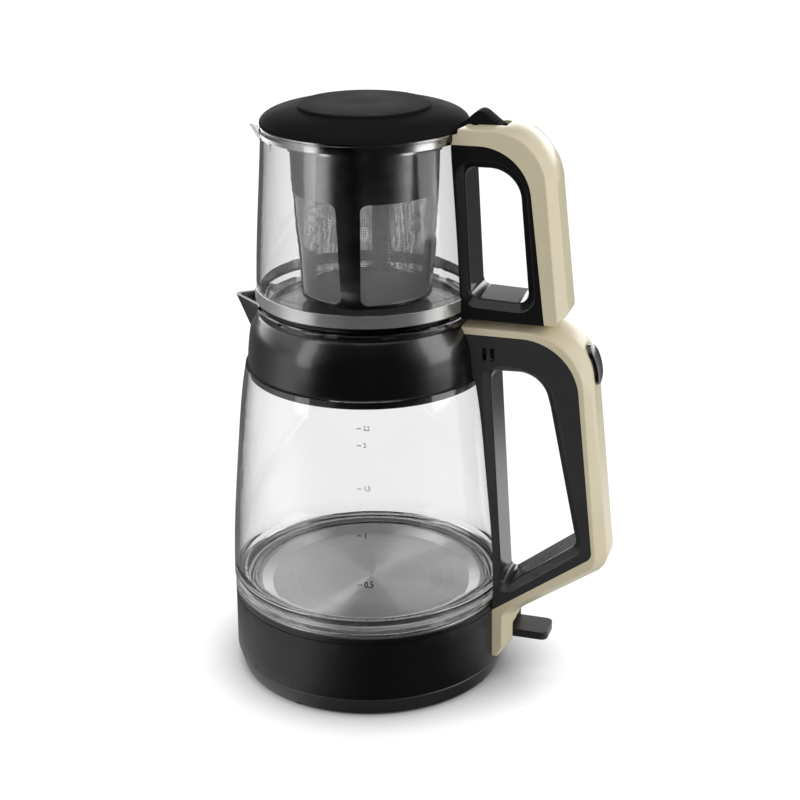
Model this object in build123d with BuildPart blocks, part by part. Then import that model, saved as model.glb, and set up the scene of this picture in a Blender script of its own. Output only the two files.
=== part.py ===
from build123d import *
import os
from math import atan2, cos, radians, sin, sqrt

os.makedirs("parts", exist_ok=True)

# An automatic tea maker: a glass kettle on a cordless power base, with a glass teapot on top of it.
# The Z axis is the axis of the glass vessels, z = 0 is the table, and both handles point to +X.
# All sizes are millimetres.

# ---------------------------------------------------------------- clearances
SNUG = 0.15            # round faces of pieces that are fixed to each other
LIFT = 0.35            # faces of pieces that lift apart
PIN_FIT = 0.05         # running clearance of a pin in its bore
SEAT = 0.3             # play under a piece that rests loosely

# ---------------------------------------------------------------- sizes that drive the rest
KETTLE_R = 84.4            # of the foot ring, the widest part
BASE_TOP_Z = 12.0          # height of the power base
RING_H = 40.4              # of the kettle's foot ring
POT_H = 105.3              # of the teapot glass

# ---------------------------------------------------------------- power base
BASE_INSET = 0.2           # of the base's top edge, inwards from the foot ring
BASE_TAPER = 2.8           # of the base's side, from its top to its bottom
BASE_R_TOP = KETTLE_R - BASE_INSET
BASE_R_LOW = BASE_R_TOP - BASE_TAPER
BASE_EDGE = 0.8
BASE_WALL = 2.2
BASE_PLATE_T = 1.6
FOOT_H = 1.6
FOOT_R = 6.0
FOOT_PITCH_R = BASE_R_LOW - FOOT_R - BASE_EDGE
FOOT_COUNT = 4
FOOT_TURN = -15.0
FOOT_PEG_R = 2.0
DISH_LAND = 5.4            # width of the rim round the dish
DISH_R = BASE_R_TOP - DISH_LAND
DISH_DEPTH = 1.0
BASE_DECK_T = 2.0
POST_PITCH_R = KETTLE_R * 2 / 3
POST_COUNT = 3
POST_R = 3.8
SCREW_R = 1.4
SCREW_HEAD_R = 2.9
SCREW_HEAD_H = 1.1
SCREW_LENGTH = 7.0
SCREW_CAP_T = 0.4          # of the post, over the end of its screw
RIB_RING_INSET = 22.0
RIB_RING_R = POST_PITCH_R - RIB_RING_INSET
RIB_T = 1.6
RIB_H = 2.6
CORD_BORE_R = 2.9
GLAND_W = 13.0
GLAND_L = 8.0

# ---------------------------------------------------------------- cordless connector
BOSS_R = 12.6
BOSS_RISE = 10.0           # above the rim of the power base
BOSS_TOP_Z = BASE_TOP_Z + BOSS_RISE
BOSS_FLANGE_R = 17.0
BOSS_FLANGE_T = 2.4
CONTACT_WALL = 0.4
CONTACT_PLAY = 0.4
PIN_SOCKET_R = 2.4
GROOVE_WIDTH = 2.1
GROOVE_INNER_R = (5.2, 8.9)
GROOVE_DEPTH = 10.0
SOCKET_WALL = 3.6
SOCKET_ROOF_T = 4.0
SOCKET_FLANGE_R = 22.0
SOCKET_FLANGE_T = 2.0
BLADE_T = 0.6
BLADE_CLEAR_END = 1.6

# ---------------------------------------------------------------- kettle foot
RING_GAP = 0.4             # between the power base and the foot ring
RING_TAPER = 0.4
RING_BOTTOM_Z = BASE_TOP_Z + RING_GAP
RING_TOP_Z = RING_BOTTOM_Z + RING_H
RING_R_LOW = KETTLE_R
RING_R_TOP = KETTLE_R - RING_TAPER
RING_WALL = 2.6
RING_LIP_T = 2.0
GROOVE_DROP = 4.4
GROOVE_Z = RING_TOP_Z - GROOVE_DROP
GROOVE_H = 0.7
GROOVE_CUT = 0.5
LEDGE_W = 4.4
LEDGE_R = RING_R_TOP - LEDGE_W
LEDGE_T = 3.0
COVER_T = 2.6
COVER_BORE_DEPTH = 1.5
COVER_POST_INSET = 7.8
COVER_POST_PITCH_R = DISH_R - COVER_POST_INSET
COVER_POST_H = 16.0
COVER_POST_TURN = 60.0

# ---------------------------------------------------------------- heater
PLATE_T = 0.8
PLATE_DROP = 2.3
PLATE_SLOPE = 6.5
PLATE_Z = RING_TOP_Z - PLATE_DROP
PLATE_FLANGE_R = RING_R_TOP - PLATE_T
PLATE_FLANGE_W = 15.7
PLATE_RIM_R = PLATE_FLANGE_R - PLATE_FLANGE_W
PLATE_FLOOR_R = PLATE_RIM_R - PLATE_SLOPE
SPREADER_INSET = 5.0
SPREADER_R = PLATE_FLOOR_R - SPREADER_INSET
SPREADER_T = 2.5
ELEMENT_INSET = 12.0
ELEMENT_R = SPREADER_R - ELEMENT_INSET
ELEMENT_TUBE_R = 3.4
ELEMENT_SWEEP = 316.0
ELEMENT_TAIL = 8.0
CONTROL_L = 46.0
CONTROL_W = 38.0
CONTROL_CORNER = 5.0
SEAL_T = 1.0
SEAL_LAP = 0.5             # of the seal, inwards from the glass foot

# ---------------------------------------------------------------- kettle glass and collar
GLASS_WALL = 2.6
# (inset from the foot ring's radius, height above the glass foot), the last point is the rim
GLASS_INSETS = [(0.0, 5.4), (0.2, 15.4), (2.3, 51.9), (5.8, 91.4), (9.2, 123.2), (12.0, 140.4)]
GLASS_OUTLINE = [(KETTLE_R - inset, height) for inset, height in GLASS_INSETS]
GLASS_HEEL = 1.0
GLASS_FOOT_W = 12.4
GLASS_FOOT_R = KETTLE_R - GLASS_HEEL
GLASS_FOOT_INNER_R = GLASS_FOOT_R - GLASS_FOOT_W
GLASS_FOOT_T = 2.6
SEAL_INNER_R = GLASS_FOOT_INNER_R - SEAL_LAP
COLLAR_SEAL_T = 0.6
COLLAR_WALL = 2.6
# (inset from the foot ring's radius, height above the collar's seat), the last point is the mouth's edge
COLLAR_INSETS = [(13.4, 0.9), (13.8, 7.4), (14.5, 13.9), (15.9, 21.9), (18.6, 28.0), (20.4, 31.4)]
COLLAR_OUTLINE = [(KETTLE_R - inset, height) for inset, height in COLLAR_INSETS]
COLLAR_NECK_DROP = 5.0
MOUTH_EDGE_R, COLLAR_H = COLLAR_OUTLINE[-1]
COLLAR_MOUTH_R = MOUTH_EDGE_R - COLLAR_WALL
SKIRT_DEPTH = 5.0
SKIRT_T = 2.4

# ---------------------------------------------------------------- kettle spout
SPOUT_REACH = 18.8         # of the nose, beyond the mouth's edge
SPOUT_RISE = 1.4           # of the rim, above the mouth's edge
SPOUT_HALF_W = 26.0
SPOUT_NOSE_R = 4.6
SPOUT_WALL = 2.2
SPOUT_DEPTH = 22.0         # of the channel
SPOUT_BACK = 12.0          # from the mouth's edge inwards
SPOUT_KEEL_HALF_W = 3.0
SPOUT_KEEL_NOSE_R = 1.0

# ---------------------------------------------------------------- steam ring
STEAM_INSET = 0.1          # of the steam ring's edge, inwards from the mouth's edge
STEAM_FLANGE_R = MOUTH_EDGE_R - STEAM_INSET
STEAM_FLANGE_T = 2.2
STEAM_RIM_T = 1.9
STEAM_RIM_IN_R = STEAM_FLANGE_R - STEAM_RIM_T
STEAM_RIM_H = 1.5
STEAM_PLAY = 0.5           # of the skirt in the mouth
STEAM_SKIRT_R = COLLAR_MOUTH_R - STEAM_PLAY
STEAM_SKIRT_H = 8.0
STEAM_WALL = 2.0
STEAM_FUNNEL_W = 15.0
STEAM_FUNNEL_DROP = 5.0
NOTCH_COUNT = 12
NOTCH_W = 8.0
PAD_INSET = 11.0
PAD_R = MOUTH_EDGE_R - PAD_INSET
PAD_W = 4.0
PAD_T = 1.1
STEAM_THROAT_R = PAD_R - PAD_W - STEAM_FUNNEL_W

# ---------------------------------------------------------------- teapot glass
# heights are above the teapot's bottom
POT_PROUD = 0.2            # of the teapot, beyond the edge of the kettle's mouth
POT_R = MOUTH_EDGE_R + POT_PROUD
POT_HEEL_W = 6.2
POT_HEEL_H = 4.9
POT_FOOT_R = POT_R - POT_HEEL_W
# (inset from the teapot's radius, height), from the top of the straight foot up
POT_INSETS = [(0.0, 15.7), (0.8, 33.3), (2.7, 62.8)]
# (inset from the teapot's radius, drop from the rim), up to the neck
NECK_INSETS = [(4.6, 15.6), (5.2, 5.6)]
POT_OUTLINE = ([(POT_R - inset, height) for inset, height in POT_INSETS]
               + [(POT_R - inset, POT_H - drop) for inset, drop in NECK_INSETS])
NECK_R = POT_OUTLINE[-1][0]
RIM_PROUD = 0.8
POT_RIM_R = NECK_R + RIM_PROUD
POT_WALL = 2.0
POT_FLOOR_T = 2.8
LIP_REACH = 12.0           # of the pouring lip's nose, beyond the neck
LIP_DROP = 3.2             # of the lip's top, below the rim
LIP_DEPTH = 20.4
LIP_HALF_W = 13.0
LIP_NOSE_R = 3.0
LIP_BACK = 14.0
LIP_KEEL_HALF_W = 3.0
LIP_KEEL_NOSE_R = 0.8
LIP_WALL = 1.8
STEEL_BAND_LIFT = 5.3
STEEL_BAND_H = 7.3
STEEL_BAND_T = 0.7

# ---------------------------------------------------------------- infuser
INFUSER_FLANGE_T = 1.0
INFUSER_INSET = 0.9        # of its flange, inwards from the glass rim
INFUSER_FLANGE_R = POT_RIM_R - INFUSER_INSET
INFUSER_RIM_PLAY = 0.6     # of the rim in the neck
INFUSER_RIM_R = NECK_R - POT_WALL - INFUSER_RIM_PLAY
INFUSER_RIM_T = 1.4
INFUSER_RIM_H = 4.6
INFUSER_SHOULDER_W = 13.2
INFUSER_TOP_R = INFUSER_RIM_R - INFUSER_SHOULDER_W
COLLAR_TAPER = 1.1
INFUSER_WAIST_R = INFUSER_TOP_R - COLLAR_TAPER
BASKET_TAPER = 3.9
INFUSER_BOTTOM_R = INFUSER_WAIST_R - BASKET_TAPER
INFUSER_COLLAR_H = 36.1
INFUSER_FLOOR_GAP = 4.9    # between the basket and the teapot's floor
INFUSER_WALL = 1.8
INFUSER_RING_H = 2.4
RIB_COUNT = 4
RIB_TURN = 5.0
RIB_W_TOP = 15.4
RIB_W_BOTTOM = 11.6
WINDOW_CORNER = 4.0
MESH_T = 0.4
MESH_OVERLAP = 3.0

# ---------------------------------------------------------------- lid
# heights are above the lid's seat
LID_INSET = 0.5
LID_R = POT_RIM_R - LID_INSET
LID_EDGE_H = 1.4
LID_DOME_H = 9.3
LID_T = 2.2
DISC_INSET = 21.4
DISC_R = LID_R - DISC_INSET
DISC_H = 10.7
DISC_CROWN = 0.7
DISC_T = 1.8
PLUG_PLAY = 1.0
PLUG_T = 1.8
PLUG_H = 5.6
HINGE_OUT = 7.2            # of the hinge axis, beyond the lid's edge
HINGE_DROP = 3.3           # of the hinge axis, below the lid's seat
HINGE_PIN_R = 1.5
HINGE_PIN_HALF = 8.4
LEVER_HALF_W = 6.0
LEVER_BOSS_R = 3.4
LEVER_EDGE = 1.0
# (x, z) from the hinge axis: tail on the lid, peak, thumb face, tip, underside
LEVER_OUTLINE = [
    (-11.5, 6.0), (-5.0, 10.0), (2.1, 16.6), (5.9, 16.6),
    (14.1, 7.7), (17.9, 3.8), (16.3, 2.2), (0.0, -0.6), (-8.6, 3.9)]
GRIP_COUNT = 5
GRIP_R = 0.55
LID_OPEN_ANGLE = 55.0

# ---------------------------------------------------------------- kettle handle
HANDLE_HALF_W = 17.5
SHOULDER_W = 8.5           # of the sloping shoulder beside the flat crown
CROWN_HALF_W = HANDLE_HALF_W - SHOULDER_W
HANDLE_ROOT = 44.0         # where the outlines start, inwards from the ring's edge
HANDLE_TOP_REACH = 50.3    # of the crown's upper corner, from the ring's edge
HANDLE_TOP_RISE = 2.5      # of the same corner, above the collar's top
HANDLE_ROOT_RISE = 1.6
HANDLE_TOP_BEND = 32.0
HANDLE_LOW_REACH = 66.2    # of the crown's lower corner, from the ring's edge
HANDLE_LOW_RISE = 31.2     # of the same corner, above the ring's top
HANDLE_LOW_BEND = 13.0
# (inwards, down) from the crown's corners to the side's: at the root, the upper and the lower corner
SHOULDER_STEPS = [(0.0, 2.4), (3.9, 2.7), (6.0, -2.0)]
SIDE_BENDS = (36.0, 9.0)
# (inwards, down) from the side's corners to the joint between shell and frame
JOINT_STEPS = [(0.0, 3.8), (2.8, 4.2), (2.4, -5.2)]
JOINT_BENDS = (34.0, 6.0)
# (inwards, down) from the crown's corners to those of the finger opening
GRIP_STEPS = [(55.7, 29.1), (25.7, 28.1), (20.3, 48.0), (18.6, -12.8)]
HOLE_BENDS = (5.0, 18.0, 14.0, 5.0, 3.0)
HOLE_LOW = (3.2, 9.8)      # inner lower corner, from the ring's edge and top
# corners under the handle: (x from the ring's edge, z from the ring's top, bend)
CHIN = [(17.0, -2.8, 5.0), (11.2, -7.8, 3.0), (11.2, -23.8, 4.0), (2.6, -36.8, 1.0)]
CHIN_SIDE = [(9.0, -2.0, 4.0), (4.4, -7.3, 3.0), (4.4, -29.8, 4.0), (1.8, -36.2, 1.0)]
JOINT_CHIN = (-6.0, -7.8)
SHELL_WALL = 2.6
FRAME_WALL = 2.6
RIDGE_R = 3.0              # of the shell's long ridges, beside the crown
SHELL_EDGE_R = 1.0
OPENING_EDGE_R = 2.0       # between the sloped rim and the finger opening
OPENING_RIM_R = 1.2        # between the sloped rim and the frame's side
HOLE_BEVEL = 4.5
HOLE_MARGIN = 7.5
SLOT_X = (-8.2, -3.6)      # from the ring's edge
SLOT_DROP = 15.7
SLOT_W = 2.6
SLOT_H = 8.0
CAVITY_BACK = 11.0         # of the hollow, inwards from the ring's edge
BUZZER_R = 6.4
BUZZER_T = 5.0
COLLAR_SCREW_INSET = 9.5   # from the handle's side
COLLAR_SCREW_Y = HANDLE_HALF_W - COLLAR_SCREW_INSET
COLLAR_SCREW_DROP = 19.0
COLLAR_SCREW_HEAD_R = 3.0
COLLAR_SCREW_HEAD_H = 2.0
COLLAR_SCREW_L = 12.0

# round cap over the screw that holds the cream shell
CAP_R = 5.5
CAP_T = 1.4
CAP_DROP = 74.5
CAP_BOSS_R = 7.4
CAP_SCREW_L = 13.0
CAP_SCREW_HEAD_T = 2.4
CAP_SCREW_HEAD_R = 3.6

# push button on the shoulder of the handle
BUTTON_ANGLE = 15.0
BUTTON_L = 24.0
BUTTON_W = 13.0
BUTTON_PROUD = 2.4
BUTTON_TRAVEL = 1.2
BUTTON_FLANGE = 1.5
BUTTON_FLANGE_T = 1.4
BUTTON_STEM_R = 2.5
BUTTON_STEM_DEPTH = 7.0
BOARD_DEPTH = 12.0
BOARD_T = 1.6
BOARD_L = 16.0
SWITCH_SIDE = 6.0

# rocker lever of the on/off switch, x from the ring's edge
ROCKER_IN = 6.0
ROCKER_DROP = 22.2         # of the lever's axis, below the ring's top
ROCKER_PIN_R = 1.5
ROCKER_PIN_INSET = 3.5     # from the handle's side
ROCKER_PIN_HALF = HANDLE_HALF_W - ROCKER_PIN_INSET
ROCKER_REACH = 30.5
ROCKER_HALF_W = 9.6
ROCKER_T = 5.0
ROCKER_CORNER = 4.0
ROCKER_ARM_L = 50.0
ROCKER_ARM_W = 8.0
ROCKER_ARM_T = 3.0
ROCKER_BOSS_R = 3.2
WINDOW_PLAY = 1.2          # beside the lever
WINDOW_HALF_W = ROCKER_HALF_W + WINDOW_PLAY
WINDOW_LOW_DROP = 29.2
WINDOW_TOP_DROP = 11.8
WINDOW_R = 4.0
EAR_T = 2.4
EAR_L = 9.0
EAR_H = 12.0

# ---------------------------------------------------------------- teapot handle
POT_HANDLE_HALF_W = 19.0
POT_RIDGE_R = 0.0          # the ridges beside the crown are crisp
POT_HANDLE_ROOT = 24.2     # where the outlines start, inwards from the teapot's side
POT_TOP_REACH = 46.1       # of the crown's upper corner, from the teapot's side
POT_TOP_RISE = 5.7         # of the same corner, above the rim
POT_ROOT_RISE = 4.4
POT_TOP_BEND = 33.0
POT_LOW_REACH = 58.2       # of the crown's lower end
POT_LOW_RISE = 1.7         # of the lower end, above the teapot's bottom
POT_LOW_BEND = 7.0
# (inwards, down) from the crown's corners to the side's: at the root, the upper and the lower corner
POT_SHOULDER_STEPS = [(0.0, 0.2), (3.9, 1.1), (4.4, 0.0)]
POT_SIDE_BENDS = (31.0, 3.0)
# (inwards, down) from the side's corners to the joint between shell and frame
POT_JOINT_STEPS = [(0.0, 8.6), (8.2, 8.8), (7.6, 0.0)]
POT_JOINT_BEND = 30.0
# (inwards, down) from the crown's corners to those of the finger opening
POT_GRIP_STEPS = [(47.7, 22.9), (16.9, 22.7), (21.8, -10.4)]
POT_HOLE_BENDS = (6.0, 18.0, 6.0, 5.0)
POT_HOLE_LOW = (2.8, 13.3)
POT_BEVEL = 4.6
LEVER_SLOT_PLAY = 0.6
POCKET_PLAY = 0.9          # under the lever's tip when the lid is open
POCKET_BACK = 4.6
EAR_OUT_Y = 9.3
HOOK_RISE = 2.6
HOOK_HALF_L = 4.4
LID_SWEEP = 3.4            # of the handle's edge, beyond the lid's edge
TAB_L = 12.0
TAB_HALF_W = 7.0
TAB_T = 1.4
TAB_LIFT = 8.4
POT_SCREW_L = 10.2         # from the underside of the cream shell
# the shell's tongue lies in the frame's underside, and the screw goes through it
TONGUE_HALF_W = 8.0
TONGUE_SKIN = 1.2          # over and beside the screw's head
TONGUE_LAP = 3.0           # into the shell's heel

# ---------------------------------------------------------------- heights that follow from the stack
BASE_DECK_Z = BASE_TOP_Z - DISH_DEPTH
BASE_UNDER_Z = BASE_DECK_Z - BASE_DECK_T
BASE_FLOOR_Z = FOOT_H + BASE_PLATE_T
GLASS_Z = RING_TOP_Z + PLATE_T + SEAL_T
RIM_R, RIM_H = GLASS_OUTLINE[-1]
COLLAR_Z = GLASS_Z + RIM_H + COLLAR_SEAL_T
ROCKER_Z = RING_TOP_Z - ROCKER_DROP
WINDOW_LOW_Z = RING_TOP_Z - WINDOW_LOW_DROP
WINDOW_TOP_Z = RING_TOP_Z - WINDOW_TOP_DROP
COLLAR_TOP_Z = COLLAR_Z + COLLAR_H
POT_Z = COLLAR_TOP_Z + STEAM_FLANGE_T + PAD_T
POT_RIM_Z = POT_Z + POT_H
LID_Z = POT_RIM_Z + INFUSER_FLANGE_T + SEAT
HINGE_X = LID_R + HINGE_OUT
HINGE_Z = LID_Z - HINGE_DROP


def high(x, z):
    """A point beside the collar: x from the ring's edge, z from the collar's top."""
    return (RING_R_TOP + x, COLLAR_TOP_Z + z)


def low(x, z):
    """A point beside the kettle's foot: x from the ring's edge, z from the ring's top."""
    return (RING_R_TOP + x, RING_TOP_Z + z)


def pot_high(x, z):
    """A point beside the teapot's rim: x from the teapot's side, z from the rim."""
    return (POT_R + x, POT_RIM_Z + z)


def pot_low(x, z):
    """A point beside the teapot's foot: x from the teapot's side, z from its bottom."""
    return (POT_R + x, POT_Z + z)


def stepped(corners, steps):
    """Corner points moved by their (inwards, down) steps."""
    return [(x - inwards, z - down) for (x, z), (inwards, down) in zip(corners, steps)]


# Outlines of the handles: corner points (x, z), each with its corner radius. They start inside the
# vessel at the top, run round the outside and end inside the vessel at the bottom.
crown_corners = [high(-HANDLE_ROOT, HANDLE_ROOT_RISE), high(HANDLE_TOP_REACH, HANDLE_TOP_RISE),
                 low(HANDLE_LOW_REACH, HANDLE_LOW_RISE)]
side_corners = stepped(crown_corners, SHOULDER_STEPS)
joint_corners = stepped(side_corners, JOINT_STEPS)
crown_top = crown_corners[1]
hole_corners = stepped([crown_top, crown_top, crown_top, crown_corners[-1]], GRIP_STEPS)
CROWN_LINE = (list(zip(crown_corners, (0, HANDLE_TOP_BEND, HANDLE_LOW_BEND)))
              + [(low(x, z), bend) for x, z, bend in CHIN] + [(low(-HANDLE_ROOT, CHIN[-1][1]), 0)])
SIDE_LINE = (list(zip(side_corners, (0, *SIDE_BENDS)))
             + [(low(x, z), bend) for x, z, bend in CHIN_SIDE] + [(low(-HANDLE_ROOT, CHIN_SIDE[-1][1]), 0)])
JOINT_LINE = (list(zip(joint_corners, (0, *JOINT_BENDS)))
              + [(low(*JOINT_CHIN), 0), (low(-HANDLE_ROOT, JOINT_CHIN[1]), 0)])
HOLE_LINE = list(zip(hole_corners + [low(*HOLE_LOW)], HOLE_BENDS))

pot_crown_corners = [pot_high(-POT_HANDLE_ROOT, POT_ROOT_RISE), pot_high(POT_TOP_REACH, POT_TOP_RISE),
                     pot_low(POT_LOW_REACH, POT_LOW_RISE)]
pot_side_corners = stepped(pot_crown_corners, POT_SHOULDER_STEPS)
pot_joint_corners = stepped(pot_side_corners, POT_JOINT_STEPS)
pot_crown_top = pot_crown_corners[1]
pot_hole_corners = stepped([pot_crown_top, pot_crown_top, pot_crown_corners[-1]], POT_GRIP_STEPS)
POT_CROWN_LINE = (list(zip(pot_crown_corners, (0, POT_TOP_BEND, POT_LOW_BEND)))
                  + [(pot_low(-POT_HANDLE_ROOT, POT_LOW_RISE), 0)])
POT_SIDE_LINE = (list(zip(pot_side_corners, (0, *POT_SIDE_BENDS)))
                 + [(pot_low(-POT_HANDLE_ROOT, POT_LOW_RISE), 0)])
POT_JOINT_LINE = (list(zip(pot_joint_corners, (0, POT_JOINT_BEND, 0)))
                  + [(pot_low(-POT_HANDLE_ROOT, POT_LOW_RISE), 0)])
POT_HOLE_LINE = list(zip(pot_hole_corners + [pot_low(*POT_HOLE_LOW)], POT_HOLE_BENDS))


# ---------------------------------------------------------------- shared shapes
def turned(outline):
    """A solid turned about the Z axis from the corner points (r, z) of its half section."""
    with BuildPart() as piece:
        with BuildSketch(Plane.XZ):
            with BuildLine():
                Polyline(*outline, close=True)
            make_face()
        revolve(axis=Axis.Z)
    return piece


def rounded_face(corners):
    """A flat face from corner points, each with its own corner radius."""
    with BuildSketch() as face:
        with BuildLine():
            Polyline(*[point for point, radius in corners], close=True)
        make_face()
        for point, radius in corners:
            if radius:
                corner = face.vertices().sort_by_distance(Vector(*point))[0]
                fillet(corner, radius)
    return face.sketch


def slab(face, half_width):
    """A face of the XZ plane made as thick as the handle, to both sides."""
    with BuildPart() as piece:
        with BuildSketch(Plane.XZ):
            add(face)
        extrude(amount=half_width, both=True)
    return piece.part


def edges_at(shape, half_w):
    """The edges that lie at a half width, on both sides."""
    return [edge for edge in shape.edges()
            if abs(abs(edge.center().Y) - half_w) < PIN_FIT
            and all(abs(abs(corner.Y) - half_w) < PIN_FIT for corner in edge.vertices())]


def crowned_body(crown_face, side_face, crown_half_w, half_w, ridge_r):
    """A handle body with a flat crown down the middle and sloping shoulders to both sides."""
    with BuildPart() as body:
        add(slab(crown_face, crown_half_w))
        for side in (1, -1):
            with BuildSketch(Plane.XZ.offset(side * crown_half_w)):
                add(crown_face)
            with BuildSketch(Plane.XZ.offset(side * half_w)):
                add(side_face)
            loft(ruled=True)
        if ridge_r:
            fillet(edges_at(body.part, crown_half_w), ridge_r)
        fillet(edges_at(body.part, half_w), SHELL_EDGE_R)
    return body.part


def disc(radius, low_z, height):
    """A plain disc about the Z axis."""
    with BuildPart() as piece:
        with BuildSketch(Plane.XY.offset(low_z)):
            Circle(radius)
        extrude(amount=height)
    return piece.part


def keel(reach, half_w, back, nose_r):
    """The plan of a pouring spout that points to -X, with a rounded nose."""
    half_angle = atan2(half_w, reach - back)
    tip = reach + nose_r * (1 / sin(half_angle) - 1)
    with BuildSketch() as plan:
        with BuildLine():
            Polyline((-back, half_w), (-tip, 0), (-back, -half_w), close=True)
        make_face()
        nose = plan.vertices().sort_by(Axis.X)[0]
        fillet(nose, nose_r)
    return plan.sketch


def bevel(face, half_w, depth):
    """The two funnels that slope the rims of a handle's opening at 45 degrees."""
    wide_face = offset(face, amount=depth, mode=Mode.PRIVATE)
    with BuildPart() as funnels:
        for side in (1, -1):
            with BuildSketch(Plane.XZ.offset(side * half_w)):
                add(wide_face)
            with BuildSketch(Plane.XZ.offset(side * (half_w - depth))):
                add(face)
            loft(ruled=True)
    return funnels.part


def opened_frame(face, hole, half_w, depth):
    """A handle frame round its finger opening, whose sloped rims are rounded on both edges."""
    with BuildPart() as body:
        add(slab(face, half_w))
        add(slab(hole, half_w), mode=Mode.SUBTRACT)
        add(bevel(hole, half_w, depth), mode=Mode.SUBTRACT)
        fillet(edges_at(body.part, half_w - depth), OPENING_EDGE_R)
        rims = [edge for flank in body.faces().filter_by(Plane.XZ) for wire in flank.inner_wires()
                for edge in wire.edges()]
        fillet(rims, OPENING_RIM_R)
    return body.part


def horn(top_plan, top_z, keel_plan, keel_z):
    """A spout body that narrows from its rim down to its keel."""
    with BuildPart() as body:
        with BuildSketch(Plane.XY.offset(keel_z)):
            add(keel_plan)
        with BuildSketch(Plane.XY.offset(top_z)):
            add(top_plan)
        loft(ruled=True)
    return body.part


# ================================================================ power base
def base_wall_r(z):
    """Outer radius of the power base at a height."""
    share = (z - FOOT_H) / (BASE_TOP_Z - FOOT_H)
    return BASE_R_LOW + (BASE_R_TOP - BASE_R_LOW) * share


GLAND_Y = base_wall_r(FOOT_H) - GLAND_L / 2 - BASE_WALL / 2
BORE_Z = (FOOT_H + BASE_UNDER_Z) / 2
BASE_SCREW_L = BASE_UNDER_Z - FOOT_H - SCREW_CAP_T
BOSS_HOLE_R = BOSS_R + LIFT

with BuildPart() as base_shell:
    add(turned([
        (base_wall_r(FOOT_H), FOOT_H),
        (base_wall_r(BASE_TOP_Z - BASE_EDGE), BASE_TOP_Z - BASE_EDGE),
        (base_wall_r(BASE_TOP_Z - BASE_EDGE) - BASE_EDGE, BASE_TOP_Z),
        (DISH_R, BASE_TOP_Z),
        (DISH_R, BASE_DECK_Z),
        (BOSS_HOLE_R, BASE_DECK_Z),
        (BOSS_HOLE_R, BASE_UNDER_Z),
        (base_wall_r(BASE_UNDER_Z) - BASE_WALL, BASE_UNDER_Z),
        (base_wall_r(FOOT_H) - BASE_WALL, FOOT_H),
    ]).part)
    with BuildSketch(Plane.XY.offset(BASE_FLOOR_Z)):
        with PolarLocations(POST_PITCH_R, POST_COUNT):
            Circle(POST_R)
    extrude(amount=BASE_UNDER_Z - BASE_FLOOR_Z)
    with BuildSketch(Plane.XY.offset(FOOT_H)):
        with Locations((0, GLAND_Y)):
            Rectangle(GLAND_W, GLAND_L)
    extrude(amount=BASE_UNDER_Z - FOOT_H)
    with BuildSketch(Plane.XY.offset(BASE_FLOOR_Z)):
        with PolarLocations(POST_PITCH_R, POST_COUNT):
            Circle(SCREW_R + PIN_FIT)
    extrude(amount=BASE_SCREW_L - BASE_PLATE_T, mode=Mode.SUBTRACT)
    with BuildSketch(Plane.XZ.offset(-BASE_R_TOP)):
        with Locations((0, BORE_Z)):
            Circle(CORD_BORE_R)
    extrude(amount=BASE_R_TOP - GLAND_Y + GLAND_L, mode=Mode.SUBTRACT)

with BuildPart() as base_bottom_plate:
    with BuildSketch(Plane.XY.offset(FOOT_H)):
        Circle(base_wall_r(FOOT_H) - BASE_WALL - SNUG)
        with Locations((0, GLAND_Y)):
            Rectangle(GLAND_W + 2 * SNUG, GLAND_L + 2 * BASE_WALL, mode=Mode.SUBTRACT)
        with PolarLocations(POST_PITCH_R, POST_COUNT):
            Circle(SCREW_R + PIN_FIT, mode=Mode.SUBTRACT)
        with PolarLocations(FOOT_PITCH_R, FOOT_COUNT, start_angle=FOOT_TURN):
            Circle(FOOT_PEG_R + PIN_FIT, mode=Mode.SUBTRACT)
        Circle(FOOT_PEG_R + PIN_FIT, mode=Mode.SUBTRACT)
    extrude(amount=BASE_PLATE_T)
    with BuildSketch(Plane.XY.offset(BASE_FLOOR_Z)):
        Circle(RIB_RING_R)
        Circle(RIB_RING_R - RIB_T, mode=Mode.SUBTRACT)
    extrude(amount=RIB_H)

# four feet near the edge, and one in the middle that carries the connector
with BuildPart() as base_feet:
    with BuildSketch():
        Circle(FOOT_R)
        with PolarLocations(FOOT_PITCH_R, FOOT_COUNT, start_angle=FOOT_TURN):
            Circle(FOOT_R)
    extrude(amount=FOOT_H)
    with BuildSketch(Plane.XY.offset(FOOT_H)):
        Circle(FOOT_PEG_R)
        with PolarLocations(FOOT_PITCH_R, FOOT_COUNT, start_angle=FOOT_TURN):
            Circle(FOOT_PEG_R)
    extrude(amount=BASE_PLATE_T)

with BuildPart() as base_screws:
    with BuildSketch(Plane.XY.offset(FOOT_H)):
        with PolarLocations(POST_PITCH_R, POST_COUNT):
            Circle(SCREW_HEAD_R)
    extrude(amount=-SCREW_HEAD_H)
    with BuildSketch(Plane.XY.offset(FOOT_H)):
        with PolarLocations(POST_PITCH_R, POST_COUNT):
            Circle(SCREW_R)
    extrude(amount=BASE_SCREW_L - PIN_FIT)

with BuildPart() as base_connector:
    add(disc(BOSS_R, BASE_FLOOR_Z + RIB_H, BOSS_TOP_Z - BASE_FLOOR_Z - RIB_H))
    add(disc(BOSS_FLANGE_R, BASE_UNDER_Z - BOSS_FLANGE_T, BOSS_FLANGE_T))
    fillet(base_connector.edges().filter_by(GeomType.CIRCLE).sort_by(Axis.Z)[-1], BASE_EDGE)
    with BuildSketch(Plane.XY.offset(BOSS_TOP_Z)):
        Circle(PIN_SOCKET_R)
    extrude(amount=-GROOVE_DEPTH, mode=Mode.SUBTRACT)
    for groove_r in GROOVE_INNER_R:
        with BuildSketch(Plane.XY.offset(BOSS_TOP_Z)):
            Circle(groove_r + GROOVE_WIDTH)
            Circle(groove_r, mode=Mode.SUBTRACT)
        extrude(amount=-GROOVE_DEPTH, mode=Mode.SUBTRACT)

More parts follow.
